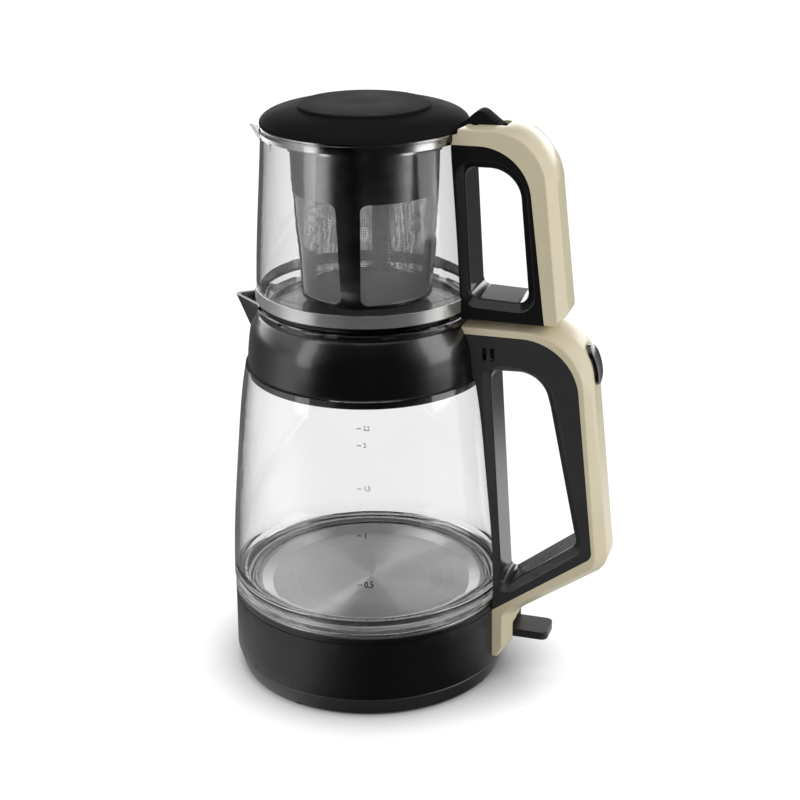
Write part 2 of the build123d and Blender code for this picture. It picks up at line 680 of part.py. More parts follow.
with BuildPart() as connector_contacts:
    for outer_r in (PIN_SOCKET_R, *(inner_r + GROOVE_WIDTH for inner_r in GROOVE_INNER_R)):
        with BuildSketch(Plane.XY.offset(BOSS_TOP_Z - GROOVE_DEPTH)):
            Circle(outer_r)
            Circle(outer_r - CONTACT_WALL, mode=Mode.SUBTRACT)
        extrude(amount=GROOVE_DEPTH - BLADE_CLEAR_END)

# ================================================================ kettle foot
COVER_Z = BASE_DECK_Z
COVER_TOP_Z = COVER_Z + COVER_T
SOCKET_R = BOSS_R + CONTACT_PLAY + CONTACT_WALL
SOCKET_OUT_R = SOCKET_R + SOCKET_WALL
SOCKET_ROOF_Z = BOSS_TOP_Z + BLADE_CLEAR_END
SOCKET_TOP_Z = SOCKET_ROOF_Z + SOCKET_ROOF_T
SPREADER_Z = PLATE_Z - PLATE_T - SPREADER_T
COVER_R = DISH_R - LIFT
RING_MOUTH_R = COVER_R + LIFT
INNER_R_LOW = RING_R_LOW - RING_WALL
INNER_R_TOP = RING_R_TOP - RING_WALL
LEDGE_Z = RING_TOP_Z - LEDGE_T
ROCKER_X = RING_R_TOP - ROCKER_IN

with BuildPart() as bottom_cover:
    with BuildSketch(Plane.XY.offset(COVER_Z)):
        Circle(COVER_R)
        Circle(SOCKET_OUT_R + SNUG, mode=Mode.SUBTRACT)
        with PolarLocations(COVER_POST_PITCH_R, POST_COUNT, start_angle=COVER_POST_TURN):
            Circle(SCREW_R + PIN_FIT, mode=Mode.SUBTRACT)
    extrude(amount=COVER_T)
    with BuildSketch(Plane.XY.offset(COVER_Z)):
        with PolarLocations(COVER_POST_PITCH_R, POST_COUNT, start_angle=COVER_POST_TURN):
            Circle(SCREW_HEAD_R + SNUG)
    extrude(amount=COVER_BORE_DEPTH, mode=Mode.SUBTRACT)

with BuildPart() as bottom_screws:
    with BuildSketch(Plane.XY.offset(COVER_Z + COVER_BORE_DEPTH)):
        with PolarLocations(COVER_POST_PITCH_R, POST_COUNT, start_angle=COVER_POST_TURN):
            Circle(SCREW_HEAD_R)
    extrude(amount=-SCREW_HEAD_H)
    with BuildSketch(Plane.XY.offset(COVER_Z + COVER_BORE_DEPTH)):
        with PolarLocations(COVER_POST_PITCH_R, POST_COUNT, start_angle=COVER_POST_TURN):
            Circle(SCREW_R)
    extrude(amount=SCREW_LENGTH + COVER_T)

with BuildPart() as base_ring:
    add(turned([
        (RING_R_LOW, RING_BOTTOM_Z),
        (RING_R_TOP, GROOVE_Z),
        (RING_R_TOP - GROOVE_CUT, GROOVE_Z),
        (RING_R_TOP - GROOVE_CUT, GROOVE_Z + GROOVE_H),
        (RING_R_TOP, GROOVE_Z + GROOVE_H),
        (RING_R_TOP, RING_TOP_Z - GROOVE_CUT),
        (RING_R_TOP - GROOVE_CUT, RING_TOP_Z),
        (LEDGE_R, RING_TOP_Z),
        (LEDGE_R, LEDGE_Z),
        (INNER_R_TOP, LEDGE_Z - (INNER_R_TOP - LEDGE_R)),
        (INNER_R_LOW, RING_BOTTOM_Z + RING_LIP_T),
        (RING_MOUTH_R, RING_BOTTOM_Z + RING_LIP_T),
        (RING_MOUTH_R, RING_BOTTOM_Z),
    ]).part)
    with BuildSketch(Plane.XY.offset(COVER_TOP_Z)):
        with PolarLocations(COVER_POST_PITCH_R, POST_COUNT, start_angle=COVER_POST_TURN):
            Circle(POST_R)
        with PolarLocations((COVER_POST_PITCH_R + INNER_R_LOW) / 2, POST_COUNT, start_angle=COVER_POST_TURN):
            Rectangle(INNER_R_LOW - COVER_POST_PITCH_R, RIB_T)
    extrude(amount=COVER_POST_H)
    with BuildSketch(Plane.XY.offset(COVER_TOP_Z)):
        with PolarLocations(COVER_POST_PITCH_R, POST_COUNT, start_angle=COVER_POST_TURN):
            Circle(SCREW_R + PIN_FIT)
    extrude(amount=SCREW_LENGTH + COVER_BORE_DEPTH + PIN_FIT, mode=Mode.SUBTRACT)
    with BuildSketch(Plane.YZ.offset(ROCKER_X)):
        with Locations((0, (WINDOW_LOW_Z + WINDOW_TOP_Z) / 2)):
            RectangleRounded(2 * WINDOW_HALF_W, WINDOW_TOP_Z - WINDOW_LOW_Z, WINDOW_R)
    extrude(amount=2 * ROCKER_IN, mode=Mode.SUBTRACT)
    for side in (1, -1):
        with BuildSketch(Plane.XZ.offset(side * (WINDOW_HALF_W + EAR_T / 2))):
            with Locations((ROCKER_X, ROCKER_Z)):
                Rectangle(EAR_L, EAR_H)
                Circle(ROCKER_PIN_R + PIN_FIT, mode=Mode.SUBTRACT)
        extrude(amount=EAR_T / 2, both=True)

with BuildPart() as heater_plate:
    add(turned([
        (0, PLATE_Z),
        (PLATE_FLOOR_R, PLATE_Z),
        (PLATE_RIM_R, RING_TOP_Z + PLATE_T),
        (PLATE_FLANGE_R, RING_TOP_Z + PLATE_T),
        (PLATE_FLANGE_R, RING_TOP_Z),
        (PLATE_RIM_R + PLATE_T, RING_TOP_Z),
        (PLATE_FLOOR_R + PLATE_T / 2, PLATE_Z - PLATE_T),
        (0, PLATE_Z - PLATE_T),
    ]).part)

with BuildPart() as plate_seal:
    with BuildSketch(Plane.XY.offset(RING_TOP_Z + PLATE_T)):
        Circle(PLATE_FLANGE_R)
        Circle(SEAL_INNER_R, mode=Mode.SUBTRACT)
    extrude(amount=SEAL_T)

with BuildPart() as heat_spreader:
    add(disc(SPREADER_R, SPREADER_Z, SPREADER_T))

with BuildPart() as heating_element:
    element_z = SPREADER_Z - ELEMENT_TUBE_R
    element_start = Plane.XZ.rotated((0, 0, 180 - ELEMENT_SWEEP / 2))
    with BuildSketch(element_start):
        with Locations((ELEMENT_R, element_z)):
            Circle(ELEMENT_TUBE_R)
    revolve(axis=Axis.Z, revolution_arc=ELEMENT_SWEEP)
    with BuildSketch(Plane.XY.offset(element_z)):
        for turn in (180 - ELEMENT_SWEEP / 2, 180 + ELEMENT_SWEEP / 2):
            with Locations((ELEMENT_R * cos(radians(turn)), ELEMENT_R * sin(radians(turn)))):
                Circle(ELEMENT_TUBE_R)
    extrude(amount=-ELEMENT_TAIL)

with BuildPart() as kettle_control:
    with BuildSketch(Plane.XY.offset(SOCKET_TOP_Z)):
        RectangleRounded(CONTROL_L, CONTROL_W, CONTROL_CORNER)
    extrude(amount=SPREADER_Z - SOCKET_TOP_Z)

with BuildPart() as kettle_connector:
    add(disc(SOCKET_OUT_R, COVER_Z + SEAT, SOCKET_TOP_Z - COVER_Z - SEAT))
    add(disc(SOCKET_FLANGE_R, COVER_TOP_Z, SOCKET_FLANGE_T))
    with BuildSketch(Plane.XY.offset(COVER_Z + SEAT)):
        Circle(SOCKET_R)
    extrude(amount=SOCKET_ROOF_Z - COVER_Z - SEAT, mode=Mode.SUBTRACT)

with BuildPart() as control_contacts:
    with BuildSketch(Plane.XY.offset(SOCKET_ROOF_Z)):
        for inner_r in reversed(GROOVE_INNER_R):
            blade_r = inner_r + GROOVE_WIDTH - CONTACT_WALL - CONTACT_PLAY
            Circle(blade_r)
            Circle(blade_r - BLADE_T, mode=Mode.SUBTRACT)
        Circle(PIN_SOCKET_R - CONTACT_WALL - CONTACT_PLAY)
    extrude(amount=-GROOVE_DEPTH)

# ================================================================ kettle glass and collar
def lifted(points, dr, dz):
    """Points (r, z) moved by a radius and a height."""
    return [(r + dr, z + dz) for r, z in points]


GLASS_SIDE = lifted(GLASS_OUTLINE, 0, GLASS_Z)
GLASS_INSIDE = lifted(GLASS_OUTLINE[1:], -GLASS_WALL, GLASS_Z)
COLLAR_SIDE = lifted(COLLAR_OUTLINE, 0, COLLAR_Z)
COLLAR_BODY_R = COLLAR_OUTLINE[0][0]
SKIRT_R = RIM_R - GLASS_WALL - 2 * SNUG

with BuildPart() as kettle_glass:
    with BuildSketch(Plane.XZ):
        with BuildLine():
            Line((GLASS_FOOT_R, GLASS_Z), GLASS_SIDE[0])
            Spline(*GLASS_SIDE)
            Line(GLASS_SIDE[-1], GLASS_INSIDE[-1])
            Spline(*reversed(GLASS_INSIDE))
            heel = (GLASS_INSIDE[0][0], GLASS_Z + GLASS_FOOT_T)
            Bezier(GLASS_INSIDE[0], heel, (GLASS_FOOT_INNER_R, GLASS_Z + GLASS_FOOT_T))
            Polyline((GLASS_FOOT_INNER_R, GLASS_Z + GLASS_FOOT_T), (GLASS_FOOT_INNER_R, GLASS_Z),
                     (GLASS_FOOT_R, GLASS_Z))
        make_face()
    revolve(axis=Axis.Z)

with BuildPart() as collar_seal:
    with BuildSketch(Plane.XY.offset(COLLAR_Z - COLLAR_SEAL_T)):
        Circle(COLLAR_BODY_R)
        Circle(RIM_R - GLASS_WALL, mode=Mode.SUBTRACT)
    extrude(amount=COLLAR_SEAL_T)

COLLAR_INSIDE = [
    (COLLAR_MOUTH_R, COLLAR_TOP_Z),
    (COLLAR_MOUTH_R, COLLAR_TOP_Z - COLLAR_NECK_DROP),
    (COLLAR_OUTLINE[3][0] - COLLAR_WALL, COLLAR_SIDE[3][1] - COLLAR_WALL),
    (COLLAR_OUTLINE[2][0] - COLLAR_WALL, COLLAR_SIDE[2][1]),
    (SKIRT_R - SKIRT_T, COLLAR_Z),
    (SKIRT_R - SKIRT_T, COLLAR_Z - COLLAR_SEAL_T - SKIRT_DEPTH),
]
SPOUT_TOP_Z = COLLAR_TOP_Z + SPOUT_RISE

spout_plan = keel(MOUTH_EDGE_R + SPOUT_REACH, SPOUT_HALF_W, MOUTH_EDGE_R - SPOUT_BACK, SPOUT_NOSE_R)
keel_plan = keel(COLLAR_BODY_R - BASE_EDGE, SPOUT_KEEL_HALF_W, MOUTH_EDGE_R - SPOUT_BACK, SPOUT_KEEL_NOSE_R)
channel_plan = offset(spout_plan, amount=-SPOUT_WALL)
channel_keel = offset(keel_plan, amount=-SPOUT_WALL / 2)

with BuildPart() as kettle_collar:
    add(horn(spout_plan, SPOUT_TOP_Z, keel_plan, COLLAR_Z))
    add(turned([(0, SPOUT_TOP_Z), (0, COLLAR_Z), *reversed(COLLAR_INSIDE[:4]),
                (STEAM_FLANGE_R + LIFT, COLLAR_TOP_Z), (STEAM_FLANGE_R + LIFT, SPOUT_TOP_Z)]).part,
        mode=Mode.SUBTRACT)
    with BuildSketch(Plane.XZ):
        with BuildLine():
            Spline(*COLLAR_SIDE)
            Polyline(COLLAR_SIDE[-1], *COLLAR_INSIDE, (SKIRT_R, COLLAR_INSIDE[-1][1]), (SKIRT_R, COLLAR_Z),
                     (COLLAR_BODY_R, COLLAR_Z), COLLAR_SIDE[0])
        make_face()
    revolve(axis=Axis.Z)
    add(horn(channel_plan, SPOUT_TOP_Z, channel_keel, COLLAR_TOP_Z - SPOUT_DEPTH), mode=Mode.SUBTRACT)
    for side in (1, -1):
        with BuildSketch(Plane.YZ.offset(COLLAR_MOUTH_R)):
            with Locations((side * COLLAR_SCREW_Y, COLLAR_TOP_Z - COLLAR_SCREW_DROP)):
                Circle(SCREW_R + PIN_FIT)
        extrude(amount=COLLAR_BODY_R - COLLAR_MOUTH_R, mode=Mode.SUBTRACT)

# ================================================================ steam ring
STEAM_TOP_Z = COLLAR_TOP_Z + STEAM_FLANGE_T
with BuildPart() as steam_ring:
    add(turned([
        (STEAM_FLANGE_R, COLLAR_TOP_Z),
        (STEAM_FLANGE_R, STEAM_TOP_Z + STEAM_RIM_H),
        (STEAM_RIM_IN_R, STEAM_TOP_Z + STEAM_RIM_H),
        (STEAM_RIM_IN_R - BASE_EDGE, STEAM_TOP_Z),
        (PAD_R - PAD_W, STEAM_TOP_Z),
        (STEAM_THROAT_R, STEAM_TOP_Z - STEAM_FUNNEL_DROP),
        (STEAM_THROAT_R, STEAM_TOP_Z - STEAM_FUNNEL_DROP - STEAM_WALL),
        (PAD_R - PAD_W, COLLAR_TOP_Z),
        (STEAM_SKIRT_R - STEAM_WALL, COLLAR_TOP_Z),
        (STEAM_SKIRT_R - STEAM_WALL, COLLAR_TOP_Z - STEAM_SKIRT_H),
        (STEAM_SKIRT_R, COLLAR_TOP_Z - STEAM_SKIRT_H),
        (STEAM_SKIRT_R, COLLAR_TOP_Z),
    ]).part)
    with BuildSketch(Plane.XY.offset(STEAM_TOP_Z)):
        with PolarLocations((STEAM_FLANGE_R + STEAM_RIM_IN_R) / 2, NOTCH_COUNT):
            Rectangle(NOTCH_W, NOTCH_W)
        Circle(STEAM_RIM_IN_R - BASE_EDGE, mode=Mode.SUBTRACT)
    extrude(amount=STEAM_RIM_H, mode=Mode.SUBTRACT)

with BuildPart() as steam_ring_pad:
    with BuildSketch(Plane.XY.offset(STEAM_TOP_Z)):
        Circle(PAD_R + PAD_W / 2)
        Circle(PAD_R - PAD_W / 2, mode=Mode.SUBTRACT)
    extrude(amount=PAD_T)

# ================================================================ teapot
POT_SIDE = lifted(POT_OUTLINE, 0, POT_Z)
POT_INSIDE = lifted(POT_OUTLINE, -POT_WALL, POT_Z)
LIP_TOP_Z = POT_RIM_Z - LIP_DROP

lip_plan = keel(NECK_R + LIP_REACH, LIP_HALF_W, NECK_R - LIP_BACK, LIP_NOSE_R)
lip_keel = keel(NECK_R - POT_WALL / 2, LIP_KEEL_HALF_W, NECK_R - LIP_BACK, LIP_KEEL_NOSE_R)
lip_channel = offset(lip_plan, amount=-LIP_WALL)
lip_channel_keel = offset(lip_keel, amount=-LIP_WALL / 2)

with BuildPart() as teapot_glass:
    add(horn(lip_plan, LIP_TOP_Z, lip_keel, LIP_TOP_Z - LIP_DEPTH))
    with BuildSketch(Plane.XZ):
        with BuildLine():
            Line((0, POT_Z), (POT_FOOT_R, POT_Z))
            Bezier((POT_FOOT_R, POT_Z), (POT_R, POT_Z), (POT_R, POT_Z + POT_HEEL_H))
            Line((POT_R, POT_Z + POT_HEEL_H), POT_SIDE[0])
            Spline(*POT_SIDE)
            Polyline(POT_SIDE[-1], (POT_RIM_R, POT_RIM_Z - POT_WALL), (POT_RIM_R, POT_RIM_Z),
                     (0, POT_RIM_Z), (0, POT_Z))
        make_face()
    revolve(axis=Axis.Z)
    with BuildSketch(Plane.XZ):
        with BuildLine():
            floor_z = POT_Z + POT_FLOOR_T
            corner_r = POT_INSIDE[0][0]
            Line((0, floor_z), (POT_FOOT_R - POT_WALL, floor_z))
            Bezier((POT_FOOT_R - POT_WALL, floor_z), (corner_r, floor_z), (corner_r, floor_z + POT_HEEL_H))
            Line((corner_r, floor_z + POT_HEEL_H), POT_INSIDE[0])
            Spline(*POT_INSIDE)
            Polyline(POT_INSIDE[-1], (NECK_R - POT_WALL, POT_RIM_Z), (0, POT_RIM_Z), (0, floor_z))
        make_face()
    revolve(axis=Axis.Z, mode=Mode.SUBTRACT)
    add(horn(lip_channel, LIP_TOP_Z, lip_channel_keel, LIP_TOP_Z - LIP_DEPTH + LIP_WALL * 2),
        mode=Mode.SUBTRACT)

BAND_R = POT_R + SNUG + STEEL_BAND_T / 2
with BuildPart() as teapot_band:
    with BuildSketch(Plane.XY.offset(POT_Z + STEEL_BAND_LIFT)):
        Circle(POT_R + SNUG + STEEL_BAND_T)
        Circle(POT_R + SNUG, mode=Mode.SUBTRACT)
    extrude(amount=STEEL_BAND_H)
    with BuildSketch(Plane.XY.offset(POT_Z + TAB_LIFT)):
        with Locations((BAND_R + TAB_L / 2, 0)):
            Rectangle(TAB_L, 2 * TAB_HALF_W)
        with Locations((BAND_R + TAB_L / 2, 0)):
            Circle(SCREW_R + PIN_FIT, mode=Mode.SUBTRACT)
    extrude(amount=TAB_T)

# ================================================================ infuser
INFUSER_Z = POT_RIM_Z
WAIST_Z = INFUSER_Z - INFUSER_COLLAR_H
BASKET_Z = POT_Z + POT_FLOOR_T + INFUSER_FLOOR_GAP
FLANGE_TOP_Z = INFUSER_Z + INFUSER_FLANGE_T


def basket_r(z):
    """Outer radius of the basket below its collar."""
    share = (z - BASKET_Z) / (WAIST_Z - BASKET_Z)
    return INFUSER_BOTTOM_R + (INFUSER_WAIST_R - INFUSER_BOTTOM_R) * share


with BuildPart() as infuser_rim:
    add(turned([
        (INFUSER_TOP_R + PIN_FIT, FLANGE_TOP_Z),
        (INFUSER_FLANGE_R, FLANGE_TOP_Z),
        (INFUSER_FLANGE_R, INFUSER_Z),
        (INFUSER_RIM_R, INFUSER_Z),
        (INFUSER_RIM_R, INFUSER_Z - INFUSER_RIM_H),
        (INFUSER_RIM_R - INFUSER_RIM_T, INFUSER_Z - INFUSER_RIM_H),
        (INFUSER_RIM_R - INFUSER_RIM_T, INFUSER_Z),
        (INFUSER_TOP_R + PIN_FIT, INFUSER_Z),
    ]).part)

with BuildPart() as infuser_frame:
    add(turned([
        (INFUSER_TOP_R - INFUSER_WALL, FLANGE_TOP_Z),
        (INFUSER_TOP_R, FLANGE_TOP_Z),
        (INFUSER_TOP_R, INFUSER_Z),
        (INFUSER_WAIST_R, WAIST_Z),
        (INFUSER_BOTTOM_R, BASKET_Z),
        (INFUSER_BOTTOM_R - INFUSER_WALL, BASKET_Z),
        (INFUSER_WAIST_R - INFUSER_WALL, WAIST_Z),
    ]).part)
    window_low_z = BASKET_Z + INFUSER_RING_H
    half_turn = radians(180 / RIB_COUNT)
    window_half_top = INFUSER_WAIST_R * sin(half_turn) - RIB_W_TOP / 2 * cos(half_turn)
    window_half_low = INFUSER_BOTTOM_R * sin(half_turn) - RIB_W_BOTTOM / 2 * cos(half_turn)
    for step in range(RIB_COUNT):
        turn = radians(RIB_TURN + step * 360 / RIB_COUNT) + half_turn
        facing = Plane(origin=(0, 0, 0), x_dir=(-sin(turn), cos(turn), 0), z_dir=(cos(turn), sin(turn), 0))
        with BuildSketch(facing.offset(INFUSER_BOTTOM_R / 2)) as window:
            with BuildLine():
                Polyline((-window_half_low, window_low_z), (window_half_low, window_low_z),
                         (window_half_top, WAIST_Z), (-window_half_top, WAIST_Z), close=True)
            make_face()
            fillet(window.vertices(), WINDOW_CORNER)
        extrude(amount=INFUSER_BOTTOM_R, mode=Mode.SUBTRACT)

MESH_LOW_Z = BASKET_Z + MESH_T
MESH_TOP_Z = WAIST_Z + MESH_OVERLAP
with BuildPart() as infuser_mesh:
    mesh_low_r = basket_r(MESH_LOW_Z) - INFUSER_WALL - SNUG
    mesh_waist_r = INFUSER_WAIST_R - INFUSER_WALL - SNUG
    add(turned([
        (mesh_low_r, MESH_LOW_Z), (mesh_waist_r, WAIST_Z), (mesh_waist_r, MESH_TOP_Z),
        (mesh_waist_r - MESH_T, MESH_TOP_Z), (mesh_waist_r - MESH_T, WAIST_Z),
        (mesh_low_r - MESH_T, MESH_LOW_Z),
    ]).part)

with BuildPart() as infuser_base_mesh:
    add(disc(INFUSER_BOTTOM_R - INFUSER_WALL - SNUG, BASKET_Z, MESH_T))

# ================================================================ lid
LEVER_PLAY_HALF_W = LEVER_HALF_W + LEVER_SLOT_PLAY
DISC_FLOOR_H = DISC_H - DISC_T
PLUG_OUT_R = INFUSER_TOP_R - INFUSER_WALL - PLUG_PLAY


def lid_dome():
    """The lid's outer form as a full solid."""
    edge = (LID_R, LID_Z + LID_EDGE_H)
    shoulder = (LID_R - DISC_T, LID_Z + LID_DOME_H - LID_T)
    crest = (DISC_R + SNUG, LID_Z + LID_DOME_H)
    with BuildPart() as dome:
        with BuildSketch(Plane.XZ):
            with BuildLine():
                Polyline((0, LID_Z), (LID_R, LID_Z), edge)
                Bezier(edge, shoulder, crest)
                Polyline(crest, (0, LID_Z + LID_DOME_H), (0, LID_Z))
            make_face()
        revolve(axis=Axis.Z)
    return dome.part


with BuildPart() as teapot_lid:
    add(lid_dome())
    add(turned([
        (0, LID_Z), (LID_R - LID_T, LID_Z), (LID_R - 2 * LID_T, LID_Z + LID_EDGE_H),
        (DISC_R, LID_Z + DISC_FLOOR_H - LID_T), (0, LID_Z + DISC_FLOOR_H - LID_T),
    ]).part, mode=Mode.SUBTRACT)
    add(disc(DISC_R + SNUG, LID_Z + DISC_FLOOR_H, DISC_T), mode=Mode.SUBTRACT)
    with BuildSketch(Plane.XY.offset(LID_Z - PLUG_H)):
        Circle(PLUG_OUT_R)
        Circle(PLUG_OUT_R - PLUG_T, mode=Mode.SUBTRACT)
    extrude(amount=PLUG_H + DISC_FLOOR_H - LID_T)

with BuildPart() as lid_disc:
    with BuildSketch(Plane.XZ):
        with BuildLine():
            disc_low_z = LID_Z + DISC_FLOOR_H
            Polyline((0, disc_low_z + DISC_T + DISC_CROWN), (0, disc_low_z), (DISC_R, disc_low_z),
                     (DISC_R, disc_low_z + DISC_T - DISC_CROWN),
                     (DISC_R - DISC_CROWN, disc_low_z + DISC_T))
            Bezier((DISC_R - DISC_CROWN, disc_low_z + DISC_T),
                   (DISC_R / 2, disc_low_z + DISC_T + DISC_CROWN),
                   (0, disc_low_z + DISC_T + DISC_CROWN))
        make_face()
    revolve(axis=Axis.Z)

hinge_plane = Plane(origin=(HINGE_X, 0, HINGE_Z), x_dir=(1, 0, 0), z_dir=(0, -1, 0))
thumb_start = Vector(*LEVER_OUTLINE[3])
thumb_run = Vector(*LEVER_OUTLINE[4]) - thumb_start
grip_points = [thumb_start + thumb_run * ((step + 1) / (GRIP_COUNT + 1)) for step in range(GRIP_COUNT)]

with BuildPart() as lid_lever:
    with BuildSketch(hinge_plane) as lever_side:
        with BuildLine():
            Polyline(*LEVER_OUTLINE, close=True)
        make_face()
        fillet(lever_side.vertices().sort_by_distance(Vector(*LEVER_OUTLINE[2]))[0], LEVER_BOSS_R)
        fillet(lever_side.vertices().sort_by_distance(Vector(*LEVER_OUTLINE[3]))[0], LEVER_EDGE)
        Circle(LEVER_BOSS_R)
        with Locations(*grip_points):
            Circle(GRIP_R)
        Circle(HINGE_PIN_R + PIN_FIT, mode=Mode.SUBTRACT)
    extrude(amount=LEVER_HALF_W, both=True)
    add(lid_dome(), mode=Mode.SUBTRACT)

with BuildPart() as lid_hinge_pin:
    with BuildSketch(hinge_plane):
        Circle(HINGE_PIN_R)
    extrude(amount=HINGE_PIN_HALF, both=True)

# ================================================================ kettle handle
def kettle_envelope():
    """What the kettle's handle keeps clear of: foot ring, glass, collar and steam ring."""
    glass = lifted(GLASS_SIDE, SNUG, 0)
    collar = lifted(COLLAR_SIDE, SNUG, 0)
    clear_r = STEAM_FLANGE_R + LIFT
    sky_z = COLLAR_TOP_Z + POT_H
    with BuildPart() as body:
        with BuildSketch(Plane.XZ):
            with BuildLine():
                Polyline((RING_R_LOW + SNUG, 0), (RING_R_LOW + SNUG, RING_BOTTOM_Z),
                         (RING_R_TOP + SNUG, RING_TOP_Z), glass[0])
                Spline(*glass)
                Line(glass[-1], collar[0])
                Spline(*collar)
                Polyline(collar[-1], (clear_r, sky_z), (0, sky_z), (0, 0), (RING_R_LOW + SNUG, 0))
            make_face()
        revolve(axis=Axis.Z)
    return body.part


def line_x(start, end, z):
    """Where a straight side of an outline is at a height."""
    share = (z - start[1]) / (end[1] - start[1])
    return start[0] + (end[0] - start[0]) * share


def corner_centre(before, corner, after, radius):
    """Centre of the arc that rounds a corner of an outline."""
    back = (Vector(*before) - Vector(*corner)).normalized()
    ahead = (Vector(*after) - Vector(*corner)).normalized()
    half = radians(back.get_angle(ahead)) / 2
    return Vector(*corner) + (back + ahead).normalized() * (radius / sin(half))


joint_face = rounded_face(JOINT_LINE)
side_face = rounded_face(SIDE_LINE)
crown_face = rounded_face(CROWN_LINE)
hole_face = rounded_face(HOLE_LINE)
envelope = kettle_envelope()

# the push button faces outwards and up from the shoulder of the crown line
(crown_start, _), (crown_corner, crown_r), (crown_end, _) = CROWN_LINE[:3]
shoulder = corner_centre(crown_start, crown_corner, crown_end, crown_r)
BUTTON_OUT = (cos(radians(BUTTON_ANGLE)), sin(radians(BUTTON_ANGLE)))
button_plane = Plane(
    origin=(shoulder.X + crown_r * BUTTON_OUT[0], 0, shoulder.Y + crown_r * BUTTON_OUT[1]),
    x_dir=(0, 1, 0), z_dir=(BUTTON_OUT[0], 0, BUTTON_OUT[1]))

# the cap and its screw stand square to the back of the handle
cap_z = COLLAR_TOP_Z - CAP_DROP
back_slope = Vector(crown_corner[1] - crown_end[1], 0, crown_end[0] - crown_corner[0]).normalized()
cap_x = line_x(crown_corner, crown_end, cap_z)
cap_plane = Plane(origin=(cap_x, 0, cap_z), x_dir=(0, 1, 0), z_dir=back_slope)
CAP_SCREW_TOP = CAP_T + CAP_SCREW_HEAD_T


def post(plane, radius, top, depth):
    """A round post below a plane, between two depths."""
    with BuildPart() as piece:
        with BuildSketch(plane.offset(-top)):
            Circle(radius)
        extrude(amount=top - depth)
    return piece.part


CAVITY_X = RING_R_TOP - CAVITY_BACK
CAVITY_LOW_X = RING_R_TOP + HOLE_MARGIN + FRAME_WALL
HOLE_TOP_Z = HOLE_LINE[0][0][1]

channel_face = offset(crown_face, amount=-SHELL_WALL)
hole_margin_face = offset(hole_face, amount=HOLE_MARGIN)
with BuildSketch() as cavity_face:
    add(joint_face)
    add(hole_margin_face, mode=Mode.SUBTRACT)
    with Locations((CAVITY_X / 2, HOLE_TOP_Z)):
        Rectangle(CAVITY_X, 2 * HOLE_TOP_Z, mode=Mode.SUBTRACT)
    with Locations((CAVITY_LOW_X / 2, HOLE_TOP_Z / 2)):
        Rectangle(CAVITY_LOW_X, HOLE_TOP_Z, mode=Mode.SUBTRACT)

with BuildPart() as handle_frame:
    add(opened_frame(joint_face, hole_face, HANDLE_HALF_W, HOLE_BEVEL))
    add(slab(cavity_face.sketch, HANDLE_HALF_W - FRAME_WALL), mode=Mode.SUBTRACT)
    add(post(cap_plane, CAP_BOSS_R - SHELL_WALL, 0, CAP_BOSS_R + CAP_SCREW_L))
    add(slab(joint_face, HANDLE_HALF_W), mode=Mode.INTERSECT)
    add(envelope, mode=Mode.SUBTRACT)
    add(slab(hole_face, HANDLE_HALF_W), mode=Mode.SUBTRACT)
    add(post(cap_plane, SCREW_R + PIN_FIT, 0, CAP_SCREW_TOP + CAP_SCREW_L + PIN_FIT), mode=Mode.SUBTRACT)
    with BuildSketch(Plane.XZ):
        for slot_x in SLOT_X:
            with Locations(high(slot_x, -SLOT_DROP)):
                SlotOverall(SLOT_H, SLOT_W, rotation=90)
    extrude(amount=HANDLE_HALF_W, both=True, mode=Mode.SUBTRACT)
    with BuildSketch(Plane.YZ.offset(COLLAR_MOUTH_R)):
        with Locations((COLLAR_SCREW_Y, COLLAR_TOP_Z - COLLAR_SCREW_DROP),
                       (-COLLAR_SCREW_Y, COLLAR_TOP_Z - COLLAR_SCREW_DROP)):
            Circle(SCREW_R + PIN_FIT)
    extrude(amount=CAVITY_X - COLLAR_MOUTH_R, mode=Mode.SUBTRACT)

with BuildPart() as handle_shell:
    add(crowned_body(crown_face, side_face, CROWN_HALF_W, HANDLE_HALF_W, RIDGE_R))
    add(slab(channel_face, CROWN_HALF_W + SNUG), mode=Mode.SUBTRACT)
    add(post(cap_plane, CAP_BOSS_R, BASE_EDGE, CAP_BOSS_R + CAP_SCREW_L))
    add(slab(joint_face, HANDLE_HALF_W), mode=Mode.SUBTRACT)
    add(envelope, mode=Mode.SUBTRACT)
    with BuildSketch(Plane.YZ.offset(RING_R_TOP - RING_WALL)):
        with Locations((0, (WINDOW_LOW_Z + WINDOW_TOP_Z) / 2)):
            RectangleRounded(2 * WINDOW_HALF_W, WINDOW_TOP_Z - WINDOW_LOW_Z, WINDOW_R)
    extrude(amount=ROCKER_REACH, mode=Mode.SUBTRACT)
    with BuildSketch(button_plane):
        SlotOverall(BUTTON_L + 2 * SNUG, BUTTON_W + 2 * SNUG, rotation=90)
    extrude(amount=2 * SHELL_WALL, both=True, mode=Mode.SUBTRACT)
    add(post(cap_plane, CAP_R + SNUG, -BASE_EDGE, CAP_T), mode=Mode.SUBTRACT)
    add(post(cap_plane, CAP_SCREW_HEAD_R + SNUG, CAP_T, CAP_SCREW_TOP), mode=Mode.SUBTRACT)
    add(post(cap_plane, SCREW_R + PIN_FIT, CAP_T, CAP_SCREW_TOP + CAP_SCREW_L), mode=Mode.SUBTRACT)

with BuildPart() as screw_cap:
    add(post(cap_plane, CAP_R, 0, CAP_T))

with BuildPart() as shell_screw:
    add(post(cap_plane, CAP_SCREW_HEAD_R, CAP_T + PIN_FIT, CAP_SCREW_TOP))
    add(post(cap_plane, SCREW_R, CAP_SCREW_TOP, CAP_SCREW_TOP + CAP_SCREW_L))

